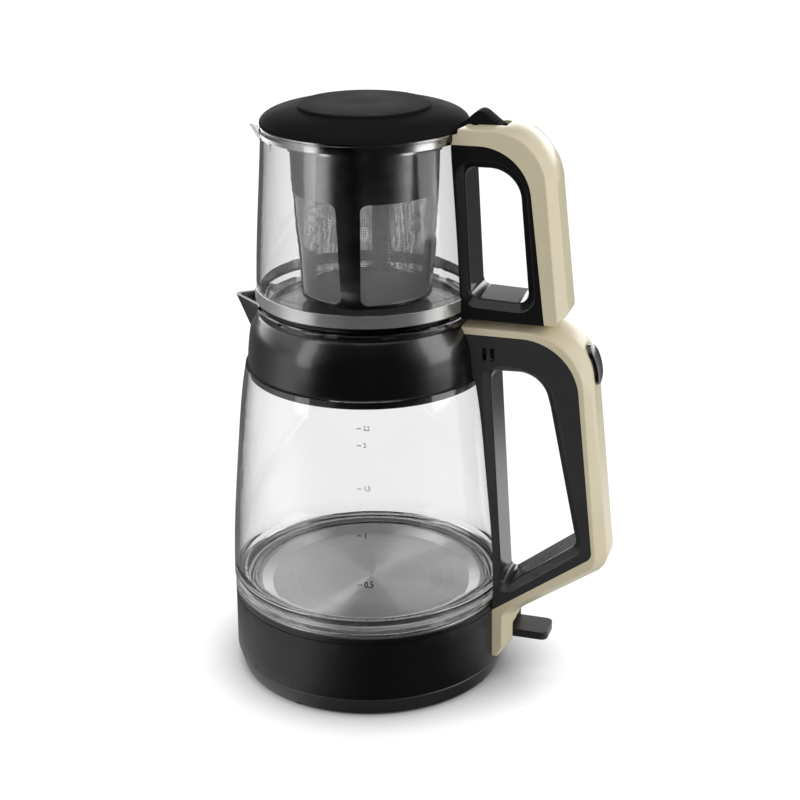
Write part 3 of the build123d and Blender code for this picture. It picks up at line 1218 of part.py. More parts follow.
with BuildPart() as handle_screws:
    screw_z = COLLAR_TOP_Z - COLLAR_SCREW_DROP
    head_x = sqrt((SKIRT_R - SKIRT_T) ** 2 - (COLLAR_SCREW_Y + COLLAR_SCREW_HEAD_R) ** 2)
    for side in (1, -1):
        with BuildSketch(Plane.YZ.offset(head_x)):
            with Locations((side * COLLAR_SCREW_Y, screw_z)):
                Circle(COLLAR_SCREW_HEAD_R)
        extrude(amount=-COLLAR_SCREW_HEAD_H)
        with BuildSketch(Plane.YZ.offset(head_x)):
            with Locations((side * COLLAR_SCREW_Y, screw_z)):
                Circle(SCREW_R)
        extrude(amount=COLLAR_SCREW_L)

with BuildPart() as sound_buzzer:
    with BuildSketch(Plane.XZ.offset(HANDLE_HALF_W - FRAME_WALL)):
        with Locations((CAVITY_X + BUZZER_R + SEAT, HOLE_TOP_Z + HOLE_MARGIN + BUZZER_R + SEAT)):
            Circle(BUZZER_R)
    extrude(amount=-BUZZER_T)


def button_layer(length, width, top, depth):
    """A layer of the button, curved like the shoulder, between two depths below the crown."""
    with BuildPart() as curve:
        with BuildSketch(Plane.XZ):
            with Locations((shoulder.X, shoulder.Y)):
                Circle(crown_r - top)
                Circle(crown_r - depth, mode=Mode.SUBTRACT)
        extrude(amount=width, both=True)
    with BuildPart() as layer:
        with BuildSketch(button_plane):
            SlotOverall(length, width, rotation=90)
        extrude(amount=crown_r / 2, both=True)
        add(curve.part, mode=Mode.INTERSECT)
    return layer.part


FLANGE_TOP = SHELL_WALL + SEAT
FLANGE_LOW = FLANGE_TOP + BUTTON_FLANGE_T
with BuildPart() as mode_button:
    add(button_layer(BUTTON_L, BUTTON_W, -BUTTON_PROUD, FLANGE_LOW))
    add(button_layer(BUTTON_L + 2 * BUTTON_FLANGE, BUTTON_W + 2 * BUTTON_FLANGE, FLANGE_TOP, FLANGE_LOW))
    add(post(button_plane, BUTTON_STEM_R, FLANGE_TOP, BUTTON_STEM_DEPTH))

with BuildPart() as button_switch:
    with BuildSketch(button_plane.offset(-BOARD_DEPTH)):
        Rectangle(SWITCH_SIDE, SWITCH_SIDE)
    extrude(amount=BOARD_DEPTH - BUTTON_STEM_DEPTH - BUTTON_TRAVEL - SEAT)

with BuildPart() as control_board:
    with BuildSketch(button_plane.offset(-BOARD_DEPTH)):
        Rectangle(2 * (HANDLE_HALF_W - FRAME_WALL - SNUG), BOARD_L)
    extrude(amount=-BOARD_T)

# ================================================================ switch lever
rocker_plane = Plane(origin=(ROCKER_X, 0, ROCKER_Z), x_dir=(1, 0, 0), z_dir=(0, -1, 0))
with BuildPart() as switch_lever:
    with BuildSketch(Plane.XY.offset(ROCKER_Z - ROCKER_T / 2)) as paddle:
        with Locations((ROCKER_X + (ROCKER_IN + ROCKER_REACH) / 2, 0)):
            Rectangle(ROCKER_IN + ROCKER_REACH, 2 * ROCKER_HALF_W)
        fillet(paddle.vertices().group_by(Axis.X)[-1], ROCKER_CORNER)
    extrude(amount=ROCKER_T)
    with BuildSketch(Plane.XY.offset(ROCKER_Z - ROCKER_ARM_T / 2)):
        with Locations((ROCKER_X - ROCKER_ARM_L / 2, 0)):
            Rectangle(ROCKER_ARM_L, ROCKER_ARM_W)
    extrude(amount=ROCKER_ARM_T)
    with BuildSketch(rocker_plane):
        Circle(ROCKER_BOSS_R)
    extrude(amount=ROCKER_HALF_W, both=True)
    with BuildSketch(rocker_plane):
        Circle(ROCKER_PIN_R + PIN_FIT)
    extrude(amount=ROCKER_HALF_W, both=True, mode=Mode.SUBTRACT)

with BuildPart() as switch_pin:
    with BuildSketch(rocker_plane):
        Circle(ROCKER_PIN_R)
    extrude(amount=ROCKER_PIN_HALF - PIN_FIT, both=True)

# ================================================================ teapot handle
BAND_CLEAR_R = POT_R + 2 * SNUG + STEEL_BAND_T
BAND_TOP_Z = POT_Z + STEEL_BAND_LIFT + STEEL_BAND_H
LID_CLEAR_R = LID_R + LID_SWEEP


def pot_envelope():
    """What the teapot's handle keeps clear of: glass, steel band, rim and the swinging lid."""
    side = lifted(POT_SIDE, SNUG, 0)
    rim_clear_r = POT_RIM_R + SNUG
    sky_z = LID_Z + POT_H
    with BuildPart() as body:
        with BuildSketch(Plane.XZ):
            with BuildLine():
                Polyline((0, COLLAR_TOP_Z), (BAND_CLEAR_R, COLLAR_TOP_Z), (BAND_CLEAR_R, BAND_TOP_Z + SNUG),
                         side[0])
                Spline(*side)
                Polyline(side[-1], (rim_clear_r, POT_RIM_Z - POT_WALL), (rim_clear_r, LID_Z - SEAT),
                         (LID_CLEAR_R, LID_Z - SEAT), (LID_CLEAR_R, sky_z), (0, sky_z), (0, COLLAR_TOP_Z))
            make_face()
        revolve(axis=Axis.Z)
    return body.part


def lever_room():
    """The space in which the lid's lever swings."""
    with BuildPart() as room:
        with BuildSketch(hinge_plane):
            Circle(LEVER_SLOT_R)
            with Locations(((LEVER_SLOT_R - POCKET_BACK) / 2, (LEVER_SLOT_R - POCKET_DROP) / 2)):
                Rectangle(LEVER_SLOT_R + POCKET_BACK, LEVER_SLOT_R + POCKET_DROP, mode=Mode.INTERSECT)
        extrude(amount=LEVER_PLAY_HALF_W, both=True)
    return room.part


tip_x, tip_z = LEVER_OUTLINE[5]
open_turn = radians(LID_OPEN_ANGLE)
LEVER_SLOT_R = sqrt(tip_x ** 2 + tip_z ** 2) + LEVER_SLOT_PLAY
POCKET_DROP = tip_x * sin(open_turn) - tip_z * cos(open_turn) + POCKET_PLAY

pot_joint_face = rounded_face(POT_JOINT_LINE)
pot_side_face = rounded_face(POT_SIDE_LINE)
pot_crown_face = rounded_face(POT_CROWN_LINE)
pot_hole_face = rounded_face(POT_HOLE_LINE)
pot_channel_face = offset(pot_crown_face, amount=-SHELL_WALL)
pot_clear = pot_envelope()
swing_room = lever_room()

SCREW_X = BAND_R + TAB_L / 2
SHELL_UNDER_Z = POT_CROWN_LINE[-1][0][1]
POT_SCREW_SEAT_Z = SHELL_UNDER_Z + SCREW_HEAD_H + SEAT
pot_screw_plane = Plane.XY.offset(SHELL_UNDER_Z)
tongue_start = SCREW_X - SCREW_HEAD_R - TONGUE_SKIN
tongue_end = POT_JOINT_LINE[2][0][0] + TONGUE_LAP
TONGUE_T = SCREW_HEAD_H + SEAT + TONGUE_SKIN


def tongue(play):
    """The tongue under the frame, made larger all round by a play."""
    with BuildPart() as piece:
        with BuildSketch(pot_screw_plane):
            with Locations(((tongue_start + tongue_end) / 2, 0)):
                Rectangle(tongue_end - tongue_start + 2 * play, 2 * (TONGUE_HALF_W + play))
        extrude(amount=TONGUE_T + play)
    return piece.part


with BuildPart() as teapot_handle_frame:
    add(opened_frame(pot_joint_face, pot_hole_face, POT_HANDLE_HALF_W, POT_BEVEL))
    for side in (1, -1):
        with BuildSketch(Plane.XZ.offset(side * (LEVER_PLAY_HALF_W + EAR_OUT_Y) / 2)):
            with Locations((HINGE_X, HINGE_Z - HOOK_RISE)):
                Rectangle(2 * HOOK_HALF_L, 4 * HOOK_RISE)
            with Locations((HINGE_X, HINGE_Z)):
                Circle(HINGE_PIN_R + PIN_FIT, mode=Mode.SUBTRACT)
            with Locations((HINGE_X, HINGE_Z + HOOK_RISE)):
                Rectangle(2 * (HINGE_PIN_R + PIN_FIT), 2 * HOOK_RISE, mode=Mode.SUBTRACT)
        extrude(amount=(EAR_OUT_Y - LEVER_PLAY_HALF_W) / 2, both=True)
    add(pot_clear, mode=Mode.SUBTRACT)
    add(swing_room, mode=Mode.SUBTRACT)
    with BuildSketch(Plane.XY.offset(POT_Z + TAB_LIFT - PIN_FIT)):
        with Locations((BAND_R + TAB_L / 2, 0)):
            Rectangle(TAB_L + 2 * SNUG, 2 * (TAB_HALF_W + SNUG))
    extrude(amount=TAB_T + 2 * PIN_FIT, mode=Mode.SUBTRACT)
    add(tongue(SNUG), mode=Mode.SUBTRACT)
    with BuildSketch(pot_screw_plane):
        with Locations((SCREW_X, 0)):
            Circle(SCREW_R + PIN_FIT)
    extrude(amount=POT_SCREW_L + SEAT, mode=Mode.SUBTRACT)

with BuildPart() as teapot_handle_shell:
    add(crowned_body(pot_crown_face, pot_side_face, CROWN_HALF_W, POT_HANDLE_HALF_W, POT_RIDGE_R))
    add(slab(pot_channel_face, EAR_OUT_Y + SNUG), mode=Mode.SUBTRACT)
    add(slab(pot_joint_face, POT_HANDLE_HALF_W), mode=Mode.SUBTRACT)
    add(tongue(0))
    add(pot_clear, mode=Mode.SUBTRACT)
    add(swing_room, mode=Mode.SUBTRACT)
    with BuildSketch(Plane.XY.offset(HINGE_Z)):
        with Locations((HINGE_X, 0)):
            Rectangle(2 * (HINGE_PIN_R + SEAT), 2 * (HINGE_PIN_HALF + SEAT))
    extrude(amount=LEVER_SLOT_R, mode=Mode.SUBTRACT)
    with BuildSketch(pot_screw_plane):
        with Locations((SCREW_X, 0)):
            Circle(SCREW_HEAD_R + SNUG)
    extrude(amount=SCREW_HEAD_H + SEAT, mode=Mode.SUBTRACT)
    with BuildSketch(pot_screw_plane):
        with Locations((SCREW_X, 0)):
            Circle(SCREW_R + PIN_FIT)
    extrude(amount=POT_SCREW_L, mode=Mode.SUBTRACT)

with BuildPart() as teapot_handle_screw:
    with BuildSketch(Plane.XY.offset(POT_SCREW_SEAT_Z)):
        with Locations((SCREW_X, 0)):
            Circle(SCREW_HEAD_R)
    extrude(amount=-SCREW_HEAD_H)
    with BuildSketch(Plane.XY.offset(POT_SCREW_SEAT_Z)):
        with Locations((SCREW_X, 0)):
            Circle(SCREW_R)
    extrude(amount=POT_SCREW_L - SCREW_HEAD_H - SEAT)

PIECES = {
    "base_shell": base_shell, "base_bottom_plate": base_bottom_plate, "base_feet": base_feet,
    "base_screws": base_screws, "base_connector": base_connector, "connector_contacts": connector_contacts,
    "bottom_cover": bottom_cover, "bottom_screws": bottom_screws, "base_ring": base_ring,
    "heater_plate": heater_plate, "plate_seal": plate_seal, "heat_spreader": heat_spreader,
    "heating_element": heating_element, "kettle_control": kettle_control,
    "kettle_connector": kettle_connector, "control_contacts": control_contacts,
    "kettle_glass": kettle_glass, "collar_seal": collar_seal, "kettle_collar": kettle_collar,
    "steam_ring": steam_ring, "steam_ring_pad": steam_ring_pad, "teapot_glass": teapot_glass,
    "teapot_band": teapot_band, "infuser_rim": infuser_rim, "infuser_frame": infuser_frame,
    "infuser_mesh": infuser_mesh, "infuser_base_mesh": infuser_base_mesh,
    "teapot_lid": teapot_lid, "lid_disc": lid_disc,
    "lid_lever": lid_lever, "lid_hinge_pin": lid_hinge_pin, "handle_frame": handle_frame,
    "handle_shell": handle_shell, "screw_cap": screw_cap, "shell_screw": shell_screw,
    "handle_screws": handle_screws, "sound_buzzer": sound_buzzer, "mode_button": mode_button,
    "button_switch": button_switch, "control_board": control_board, "switch_lever": switch_lever,
    "switch_pin": switch_pin, "teapot_handle_frame": teapot_handle_frame,
    "teapot_handle_shell": teapot_handle_shell, "teapot_handle_screw": teapot_handle_screw,
}

for name, piece in PIECES.items():
    piece.part.label = name
    export_step(piece.part, f"parts/{name}.step")
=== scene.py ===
from math import cos, pi, radians, sin

import bmesh
import bpy
from mathutils import Matrix, Vector


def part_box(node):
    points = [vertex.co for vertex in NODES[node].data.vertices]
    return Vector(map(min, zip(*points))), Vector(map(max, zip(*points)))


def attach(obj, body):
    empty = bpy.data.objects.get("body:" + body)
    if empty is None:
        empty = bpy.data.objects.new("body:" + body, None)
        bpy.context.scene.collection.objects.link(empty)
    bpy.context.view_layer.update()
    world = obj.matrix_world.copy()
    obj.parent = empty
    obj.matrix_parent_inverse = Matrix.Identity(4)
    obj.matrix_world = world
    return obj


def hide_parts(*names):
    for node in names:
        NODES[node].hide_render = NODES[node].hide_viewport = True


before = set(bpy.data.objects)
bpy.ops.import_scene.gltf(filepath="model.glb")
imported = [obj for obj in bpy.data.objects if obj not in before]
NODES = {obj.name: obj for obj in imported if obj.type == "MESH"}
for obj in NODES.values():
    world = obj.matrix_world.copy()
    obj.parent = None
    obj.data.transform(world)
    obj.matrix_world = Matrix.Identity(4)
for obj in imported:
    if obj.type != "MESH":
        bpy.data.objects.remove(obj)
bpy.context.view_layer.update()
MM = 0.001

# ---------------------------------------------------------------- colours, linear
INK_BLACK = (0.0045, 0.0045, 0.005)
SATIN_BLACK = (0.026, 0.026, 0.0265)
MATTE_BLACK = (0.014, 0.014, 0.0145)
CREAM = (0.780, 0.695, 0.490)
FRAME_BLACK = (0.012, 0.012, 0.012)
FRAME_SATIN = (0.045, 0.045, 0.045)
# the seal's two colours are painted reflection rings, dark and pale, for the refraction rings of the glass
# foot
SEAL_PAINTED_DARK_RING = (0.10, 0.10, 0.10)
SEAL_PAINTED_PALE_RING = (0.78, 0.78, 0.77)
MARK_BLACK = (0.012, 0.012, 0.012)
MARK_GREY = (0.36, 0.36, 0.36)
STEEL = (0.62, 0.62, 0.61)
BRIGHT_STEEL = (0.80, 0.80, 0.79)
WIRE_STEEL = (0.90, 0.90, 0.89)
ALUMINIUM = (0.72, 0.73, 0.74)
BRASS = (0.72, 0.52, 0.22)
RUBBER = (0.030, 0.030, 0.032)
BOARD_GREEN = (0.02, 0.11, 0.05)
WHITE = (1.0, 1.0, 1.0)
GLASS_BODY = (0.30, 0.31, 0.31)

# ---------------------------------------------------------------- shared values of the materials
NOISE_LOW, NOISE_HIGH = 0.3, 0.7      # the part of the noise's range that is used
# Scales of the noise per metre: slow for blotches, fine for grain.
PLASTIC_SLOW = 38
SEAL_SLOW = 300
BRUSHED_SLOW = 30
METAL_SLOW, METAL_FINE = 60, 2200
GLASS_SLOW = 24
FLOOR_SLOW = 3
COAT_ROUGHNESS = 0.08
GLASS_IOR = 1.47
GLASS_UNEVEN = 0.012                  # how much the roughness of glass varies
GLASS_WAVE = 0.000008                 # depth of the waves in its surface, metres
BRUSH_DEPTH = 0.000004
RIB_DEPTH = 0.0002                    # of the ribs moulded on the seal

# ---------------------------------------------------------------- camera of the photograph
CAMERA_DISTANCE = 0.9422              # from the Z axis, metres
CAMERA_HEIGHT = 0.5389
CAMERA_AZIMUTH = radians(18.9)        # from -Y towards +X
CAMERA_YAW = 0.019934                 # aside from the axis, radians
CAMERA_PITCH = 0.374929               # downwards
CAMERA_ROLL = -0.0080987
FOCAL_PIXELS = 1688.4
FRAME_PIXELS = 800
SENSOR = 36.0


def make_camera():
    """The camera at the photograph's viewing angle, solved from the round edges of the vessels."""
    turn = CAMERA_AZIMUTH - CAMERA_YAW
    ahead = Vector((-sin(turn) * cos(CAMERA_PITCH), cos(turn) * cos(CAMERA_PITCH), -sin(CAMERA_PITCH)))
    right = Vector((cos(turn), sin(turn), 0))
    up = right.cross(ahead)
    across = right * cos(CAMERA_ROLL) + up * sin(CAMERA_ROLL)
    upward = up * cos(CAMERA_ROLL) - right * sin(CAMERA_ROLL)
    data = bpy.data.cameras.new("camera")
    data.sensor_width = SENSOR
    data.lens = FOCAL_PIXELS / FRAME_PIXELS * SENSOR
    camera = bpy.data.objects.new("camera", data)
    bpy.context.scene.collection.objects.link(camera)
    place = Vector((CAMERA_DISTANCE * sin(CAMERA_AZIMUTH), -CAMERA_DISTANCE * cos(CAMERA_AZIMUTH),
                    CAMERA_HEIGHT))
    rotation = Matrix((across, upward, -ahead)).transposed()
    camera.matrix_world = Matrix.Translation(place) @ rotation.to_4x4()
    bpy.context.scene.camera = camera


# ---------------------------------------------------------------- node helpers
def new_material(name):
    """A material with an empty node tree and its output."""
    made = bpy.data.materials.new(name)
    made.use_nodes = True
    made.node_tree.nodes.clear()
    output = made.node_tree.nodes.new("ShaderNodeOutputMaterial")
    return made, made.node_tree, output


def add_node(tree, kind, **settings):
    """A new node with some of its settings."""
    node = tree.nodes.new(kind)
    for key, value in settings.items():
        setattr(node, key, value)
    return node


def maths(tree, operation, *terms):
    """The result of a maths node on sockets and plain numbers."""
    node = add_node(tree, "ShaderNodeMath", operation=operation)
    for number, term in enumerate(terms):
        if isinstance(term, (int, float)):
            node.inputs[number].default_value = term
        else:
            tree.links.new(term, node.inputs[number])
    return node.outputs["Value"]


def noise(tree, source, scale, detail=2.0):
    """Noise of a scale per metre."""
    texture = add_node(tree, "ShaderNodeTexNoise")
    texture.inputs["Scale"].default_value = scale
    texture.inputs["Detail"].default_value = detail
    tree.links.new(source, texture.inputs["Vector"])
    return texture.outputs["Fac"]


def spread(tree, source, low, high):
    """The used part of a noise mapped to a range."""
    node = add_node(tree, "ShaderNodeMapRange")
    node.inputs["From Min"].default_value = NOISE_LOW
    node.inputs["From Max"].default_value = NOISE_HIGH
    node.inputs["To Min"].default_value = low
    node.inputs["To Max"].default_value = high
    tree.links.new(source, node.inputs["Value"])
    return node.outputs["Result"]


def tint(tree, source, colour, amount):
    """A colour that varies a little about its own value."""
    ramp = add_node(tree, "ShaderNodeValToRGB")
    ramp.color_ramp.elements[0].position = NOISE_LOW
    ramp.color_ramp.elements[1].position = NOISE_HIGH
    ramp.color_ramp.elements[0].color = (*[c * (1 - amount) for c in colour], 1)
    ramp.color_ramp.elements[1].color = (*[min(1.0, c * (1 + amount)) for c in colour], 1)
    tree.links.new(source, ramp.inputs["Fac"])
    return ramp.outputs["Color"]


def bump(tree, source, distance):
    """A normal that follows a height of a depth in metres."""
    node = add_node(tree, "ShaderNodeBump")
    node.inputs["Strength"].default_value = 1.0
    node.inputs["Distance"].default_value = distance
    tree.links.new(source, node.inputs["Height"])
    return node.outputs["Normal"]


def plastic(name, colour, roughness, grain=0.00002, grain_scale=2600, coat=0.0, variation=0.05,
            shine=0.5):
    """Moulded plastic: a fine grain, slow changes of gloss and a trace of colour variation."""
    made, tree, output = new_material(name)
    shader = add_node(tree, "ShaderNodeBsdfPrincipled")
    place = add_node(tree, "ShaderNodeTexCoord").outputs["Object"]
    slow = noise(tree, place, PLASTIC_SLOW, 3)
    fine = noise(tree, place, grain_scale, 2)
    tree.links.new(tint(tree, slow, colour, variation), shader.inputs["Base Color"])
    tree.links.new(spread(tree, slow, roughness * 0.88, roughness * 1.12), shader.inputs["Roughness"])
    tree.links.new(bump(tree, fine, grain), shader.inputs["Normal"])
    shader.inputs["Specular IOR Level"].default_value = shine
    if coat:
        shader.inputs["Coat Weight"].default_value = coat
        shader.inputs["Coat Roughness"].default_value = COAT_ROUGHNESS
    tree.links.new(shader.outputs["BSDF"], output.inputs["Surface"])
    return made


def round_axis(tree, place):
    """A point's distance from the Z axis and its height, as a vector."""
    split = add_node(tree, "ShaderNodeSeparateXYZ")
    tree.links.new(place, split.inputs["Vector"])
    flat = add_node(tree, "ShaderNodeCombineXYZ")
    tree.links.new(split.outputs["X"], flat.inputs["X"])
    tree.links.new(split.outputs["Y"], flat.inputs["Y"])
    reach = add_node(tree, "ShaderNodeVectorMath", operation="LENGTH")
    tree.links.new(flat.outputs["Vector"], reach.inputs[0])
    line = add_node(tree, "ShaderNodeCombineXYZ")
    tree.links.new(reach.outputs["Value"], line.inputs["X"])
    tree.links.new(split.outputs["Z"], line.inputs["Y"])
    return line.outputs["Vector"]


def ribbed_painted_rings(name, pitch, dark, pale):
    """A soft seal moulded with fine ribs round the Z axis, made metallic and painted in dark and pale
    rings: a painted reflection of the glass foot's refraction rings.
    """
    made, tree, output = new_material(name)
    shader = add_node(tree, "ShaderNodeBsdfPrincipled")
    place = add_node(tree, "ShaderNodeTexCoord").outputs["Object"]
    ribs_and_painted_rings = add_node(tree, "ShaderNodeTexWave", wave_type="BANDS", bands_direction="X", wave_profile="SIN")
    ribs_and_painted_rings.inputs["Scale"].default_value = pi / (10 * pitch)
    ribs_and_painted_rings.inputs["Distortion"].default_value = 1.6
    ribs_and_painted_rings.inputs["Detail"].default_value = 2.0
    tree.links.new(round_axis(tree, place), ribs_and_painted_rings.inputs["Vector"])
    # painted reflection: the ribs' wave also paints dark and pale rings into the colour
    ramp = add_node(tree, "ShaderNodeValToRGB")
    ramp.color_ramp.elements[0].color = (*dark, 1)
    ramp.color_ramp.elements[1].color = (*pale, 1)
    tree.links.new(ribs_and_painted_rings.outputs["Fac"], ramp.inputs["Fac"])
    tree.links.new(ramp.outputs["Color"], shader.inputs["Base Color"])
    tree.links.new(bump(tree, ribs_and_painted_rings.outputs["Fac"], RIB_DEPTH), shader.inputs["Normal"])
    tree.links.new(spread(tree, noise(tree, place, SEAL_SLOW), 0.25, 0.40), shader.inputs["Roughness"])
    shader.inputs["Metallic"].default_value = 1.0
    tree.links.new(shader.outputs["BSDF"], output.inputs["Surface"])
    return made


def brushed(name, colour, roughness, lines=5200, metallic=1.0, stretch=0.8):
    """Metal brushed round the axis, so that its highlights run across the lines."""
    made, tree, output = new_material(name)
    shader = add_node(tree, "ShaderNodeBsdfPrincipled")
    place = add_node(tree, "ShaderNodeTexCoord").outputs["Object"]
    fine = noise(tree, round_axis(tree, place), lines, 3)
    slow = noise(tree, place, BRUSHED_SLOW, 2)
    tree.links.new(tint(tree, fine, colour, 0.10), shader.inputs["Base Color"])
    tree.links.new(spread(tree, slow, roughness * 0.85, roughness * 1.15), shader.inputs["Roughness"])
    tree.links.new(bump(tree, fine, BRUSH_DEPTH), shader.inputs["Normal"])
    shader.inputs["Metallic"].default_value = metallic
    shader.inputs["Anisotropic"].default_value = stretch
    shader.inputs["Anisotropic Rotation"].default_value = 0.25
    tangent = add_node(tree, "ShaderNodeTangent", direction_type="RADIAL", axis="Z")
    tree.links.new(tangent.outputs["Tangent"], shader.inputs["Tangent"])
    tree.links.new(shader.outputs["BSDF"], output.inputs["Surface"])
    return made


def metal(name, colour, roughness, variation=0.06, scuff=0.000008, metallic=1.0):
    """Plain drawn or cast metal with fine scuffs."""
    made, tree, output = new_material(name)
    shader = add_node(tree, "ShaderNodeBsdfPrincipled")
    place = add_node(tree, "ShaderNodeTexCoord").outputs["Object"]
    slow = noise(tree, place, METAL_SLOW, 4)
    fine = noise(tree, place, METAL_FINE, 2)
    tree.links.new(tint(tree, slow, colour, variation), shader.inputs["Base Color"])
    tree.links.new(spread(tree, slow, roughness * 0.8, roughness * 1.2), shader.inputs["Roughness"])
    tree.links.new(bump(tree, fine, scuff), shader.inputs["Normal"])
    shader.inputs["Metallic"].default_value = metallic
    tree.links.new(shader.outputs["BSDF"], output.inputs["Surface"])
    return made


def glass(name, density):
    """Clear glass with a faint grey body and a slightly uneven surface."""
    made, tree, output = new_material(name)
    shader = add_node(tree, "ShaderNodeBsdfPrincipled")
    place = add_node(tree, "ShaderNodeTexCoord").outputs["Object"]
    slow = noise(tree, place, GLASS_SLOW, 2)
    shader.inputs["Base Color"].default_value = (*WHITE, 1)
    shader.inputs["Transmission Weight"].default_value = 1.0
    shader.inputs["IOR"].default_value = GLASS_IOR
    tree.links.new(spread(tree, slow, 0.0, GLASS_UNEVEN), shader.inputs["Roughness"])
    tree.links.new(bump(tree, slow, GLASS_WAVE), shader.inputs["Normal"])
    body = add_node(tree, "ShaderNodeVolumeAbsorption")
    body.inputs["Color"].default_value = (*GLASS_BODY, 1)
    body.inputs["Density"].default_value = density
    tree.links.new(shader.outputs["BSDF"], output.inputs["Surface"])
    tree.links.new(body.outputs["Volume"], output.inputs["Volume"])
    return made


# ---------------------------------------------------------------- materials
FINISH = {
    "gloss_black": plastic("gloss_black", INK_BLACK, 0.24, grain=0.000002, shine=1.0, coat=0.5),
    "satin_black": plastic("satin_black", SATIN_BLACK, 0.36, grain=0.000006, shine=0.8),
    "ring_black": plastic("ring_black", INK_BLACK, 0.34, grain=0.000004, shine=0.8),
    "frame_black": plastic("frame_black", FRAME_BLACK, 0.10, grain=0.000001, shine=0.6),
    "frame_satin": plastic("frame_satin", FRAME_SATIN, 0.16, grain=0.000002, shine=0.5),
    "lid_black": plastic("lid_black", MATTE_BLACK, 0.48, grain=0.00001, shine=0.005),
    "matte_black": plastic("matte_black", MATTE_BLACK, 0.48, grain=0.00002, shine=0.6),
    "cream": plastic("cream", CREAM, 0.34, grain=0.000004, coat=0.25, variation=0.02),
    "steel_plate": brushed("steel_plate", BRIGHT_STEEL, 0.40, metallic=0.93, stretch=0.95),
    "steel_band": brushed("steel_band", BRIGHT_STEEL, 0.24, metallic=0.84),
    "steel": metal("steel", STEEL, 0.30),
    "polished": metal("polished", STEEL, 0.20, variation=0.03, scuff=0.000001),
    # the seal wears painted reflection rings, dark and pale, for the glass foot's refraction rings
    "silicone": ribbed_painted_rings("silicone", 1.9 * MM, SEAL_PAINTED_DARK_RING, SEAL_PAINTED_PALE_RING),
    "aluminium": metal("aluminium", ALUMINIUM, 0.42),
    "brass": metal("brass", BRASS, 0.30),
    "rubber": plastic("rubber", RUBBER, 0.70, grain=0.00004, grain_scale=1800),
    "kettle_glass": glass("kettle_glass", 30),
    "teapot_glass": glass("teapot_glass", 78),
    "wire": metal("wire", WIRE_STEEL, 0.42, metallic=0.25),
    "mark_black": plastic("mark_black", MARK_BLACK, 0.45),
    "mark_grey": plastic("mark_grey", MARK_GREY, 0.45),
    "board": plastic("board", BOARD_GREEN, 0.45),
}
WEARS = {
    "base_shell": "satin_black", "base_bottom_plate": "matte_black", "base_feet": "rubber",
    "base_screws": "steel", "base_connector": "matte_black", "connector_contacts": "brass",
    "bottom_cover": "matte_black", "bottom_screws": "steel", "base_ring": "ring_black",
    "heater_plate": "steel_plate", "plate_seal": "silicone", "heat_spreader": "aluminium",
    "heating_element": "aluminium", "kettle_control": "matte_black", "kettle_connector": "matte_black",
    "control_contacts": "brass", "kettle_glass": "kettle_glass", "collar_seal": "rubber",
    "kettle_collar": "gloss_black", "steam_ring": "gloss_black", "steam_ring_pad": "rubber",
    "teapot_glass": "teapot_glass", "teapot_band": "steel_band",
    "infuser_rim": "polished", "infuser_frame": "polished",
    "infuser_mesh": "wire", "infuser_base_mesh": "wire", "teapot_lid": "lid_black",
    "lid_disc": "lid_black", "lid_lever": "gloss_black", "lid_hinge_pin": "steel",
    "handle_frame": "frame_satin", "handle_shell": "cream", "screw_cap": "cream",
    "shell_screw": "steel", "handle_screws": "steel", "sound_buzzer": "matte_black",
    "mode_button": "gloss_black", "button_switch": "matte_black", "control_board": "board",
    "switch_lever": "satin_black", "switch_pin": "steel", "teapot_handle_frame": "frame_black",
    "teapot_handle_shell": "cream", "teapot_handle_screw": "steel",
}
for node_name, finish in WEARS.items():
    data = NODES[node_name].data
    data.materials.clear()
    data.materials.append(FINISH[finish])

# ---------------------------------------------------------------- wire mesh of the infuser
WIRE_PITCH = 0.95 * MM
WIRE_R = 0.17 * MM
RING_STEPS = 140
CROSS_OVER = 0.12 * MM        # of the two layers of wire, each way from the mesh's middle
# radii of the mesh's middle, at its foot and from its waist up
MESH_WAIST_Z = 299.5 * MM
MESH_TOP_R = 40.05 * MM
MESH_LOW_R = 36.2 * MM


def new_piece(name, points, faces, finish, body, nodes=()):
    """A mesh object that rides on a body, wears a finish and may stand for CAD nodes."""
    mesh = bpy.data.meshes.new(name)
    mesh.from_pydata(points, [], faces)
    mesh.polygons.foreach_set("use_smooth", [True] * len(faces))
    mesh.update()
    mesh.materials.append(FINISH[finish])
    piece = bpy.data.objects.new(name, mesh)
    bpy.context.scene.collection.objects.link(piece)
    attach(piece, body)
    if nodes:
        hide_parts(*nodes)
    return piece


def add_ring_wire(points, faces, radius, height):
    """A closed round wire about the Z axis, with a square section turned on its corner."""
    first = len(points)
    for step in range(RING_STEPS):
        angle = 2 * pi * step / RING_STEPS
        for out, rise in ((WIRE_R, 0), (0, WIRE_R), (-WIRE_R, 0), (0, -WIRE_R)):
            points.append(((radius + out) * cos(angle), (radius + out) * sin(angle), height + rise))
    for step in range(RING_STEPS):
        here, there = first + 4 * step, first + 4 * ((step + 1) % RING_STEPS)
        for side in range(4):
            nearby = (side + 1) % 4
            faces.append((here + side, there + side, there + nearby, here + nearby))


def add_straight_wire(points, faces, path, across, lift):
    """A wire along a path of points, with a square section spanned by two directions."""
    first = len(points)
    for spot in path:
        for turn in (across, lift, -across, -lift):
            points.append(tuple(Vector(spot) + turn * WIRE_R))
    for step in range(len(path) - 1):
        here, there = first + 4 * step, first + 4 * (step + 1)
        for side in range(4):
            nearby = (side + 1) % 4
            faces.append((here + side, here + nearby, there + nearby, there + side))
    last = first + 4 * (len(path) - 1)
    faces.append((first + 3, first + 2, first + 1, first))
    faces.append((last, last + 1, last + 2, last + 3))


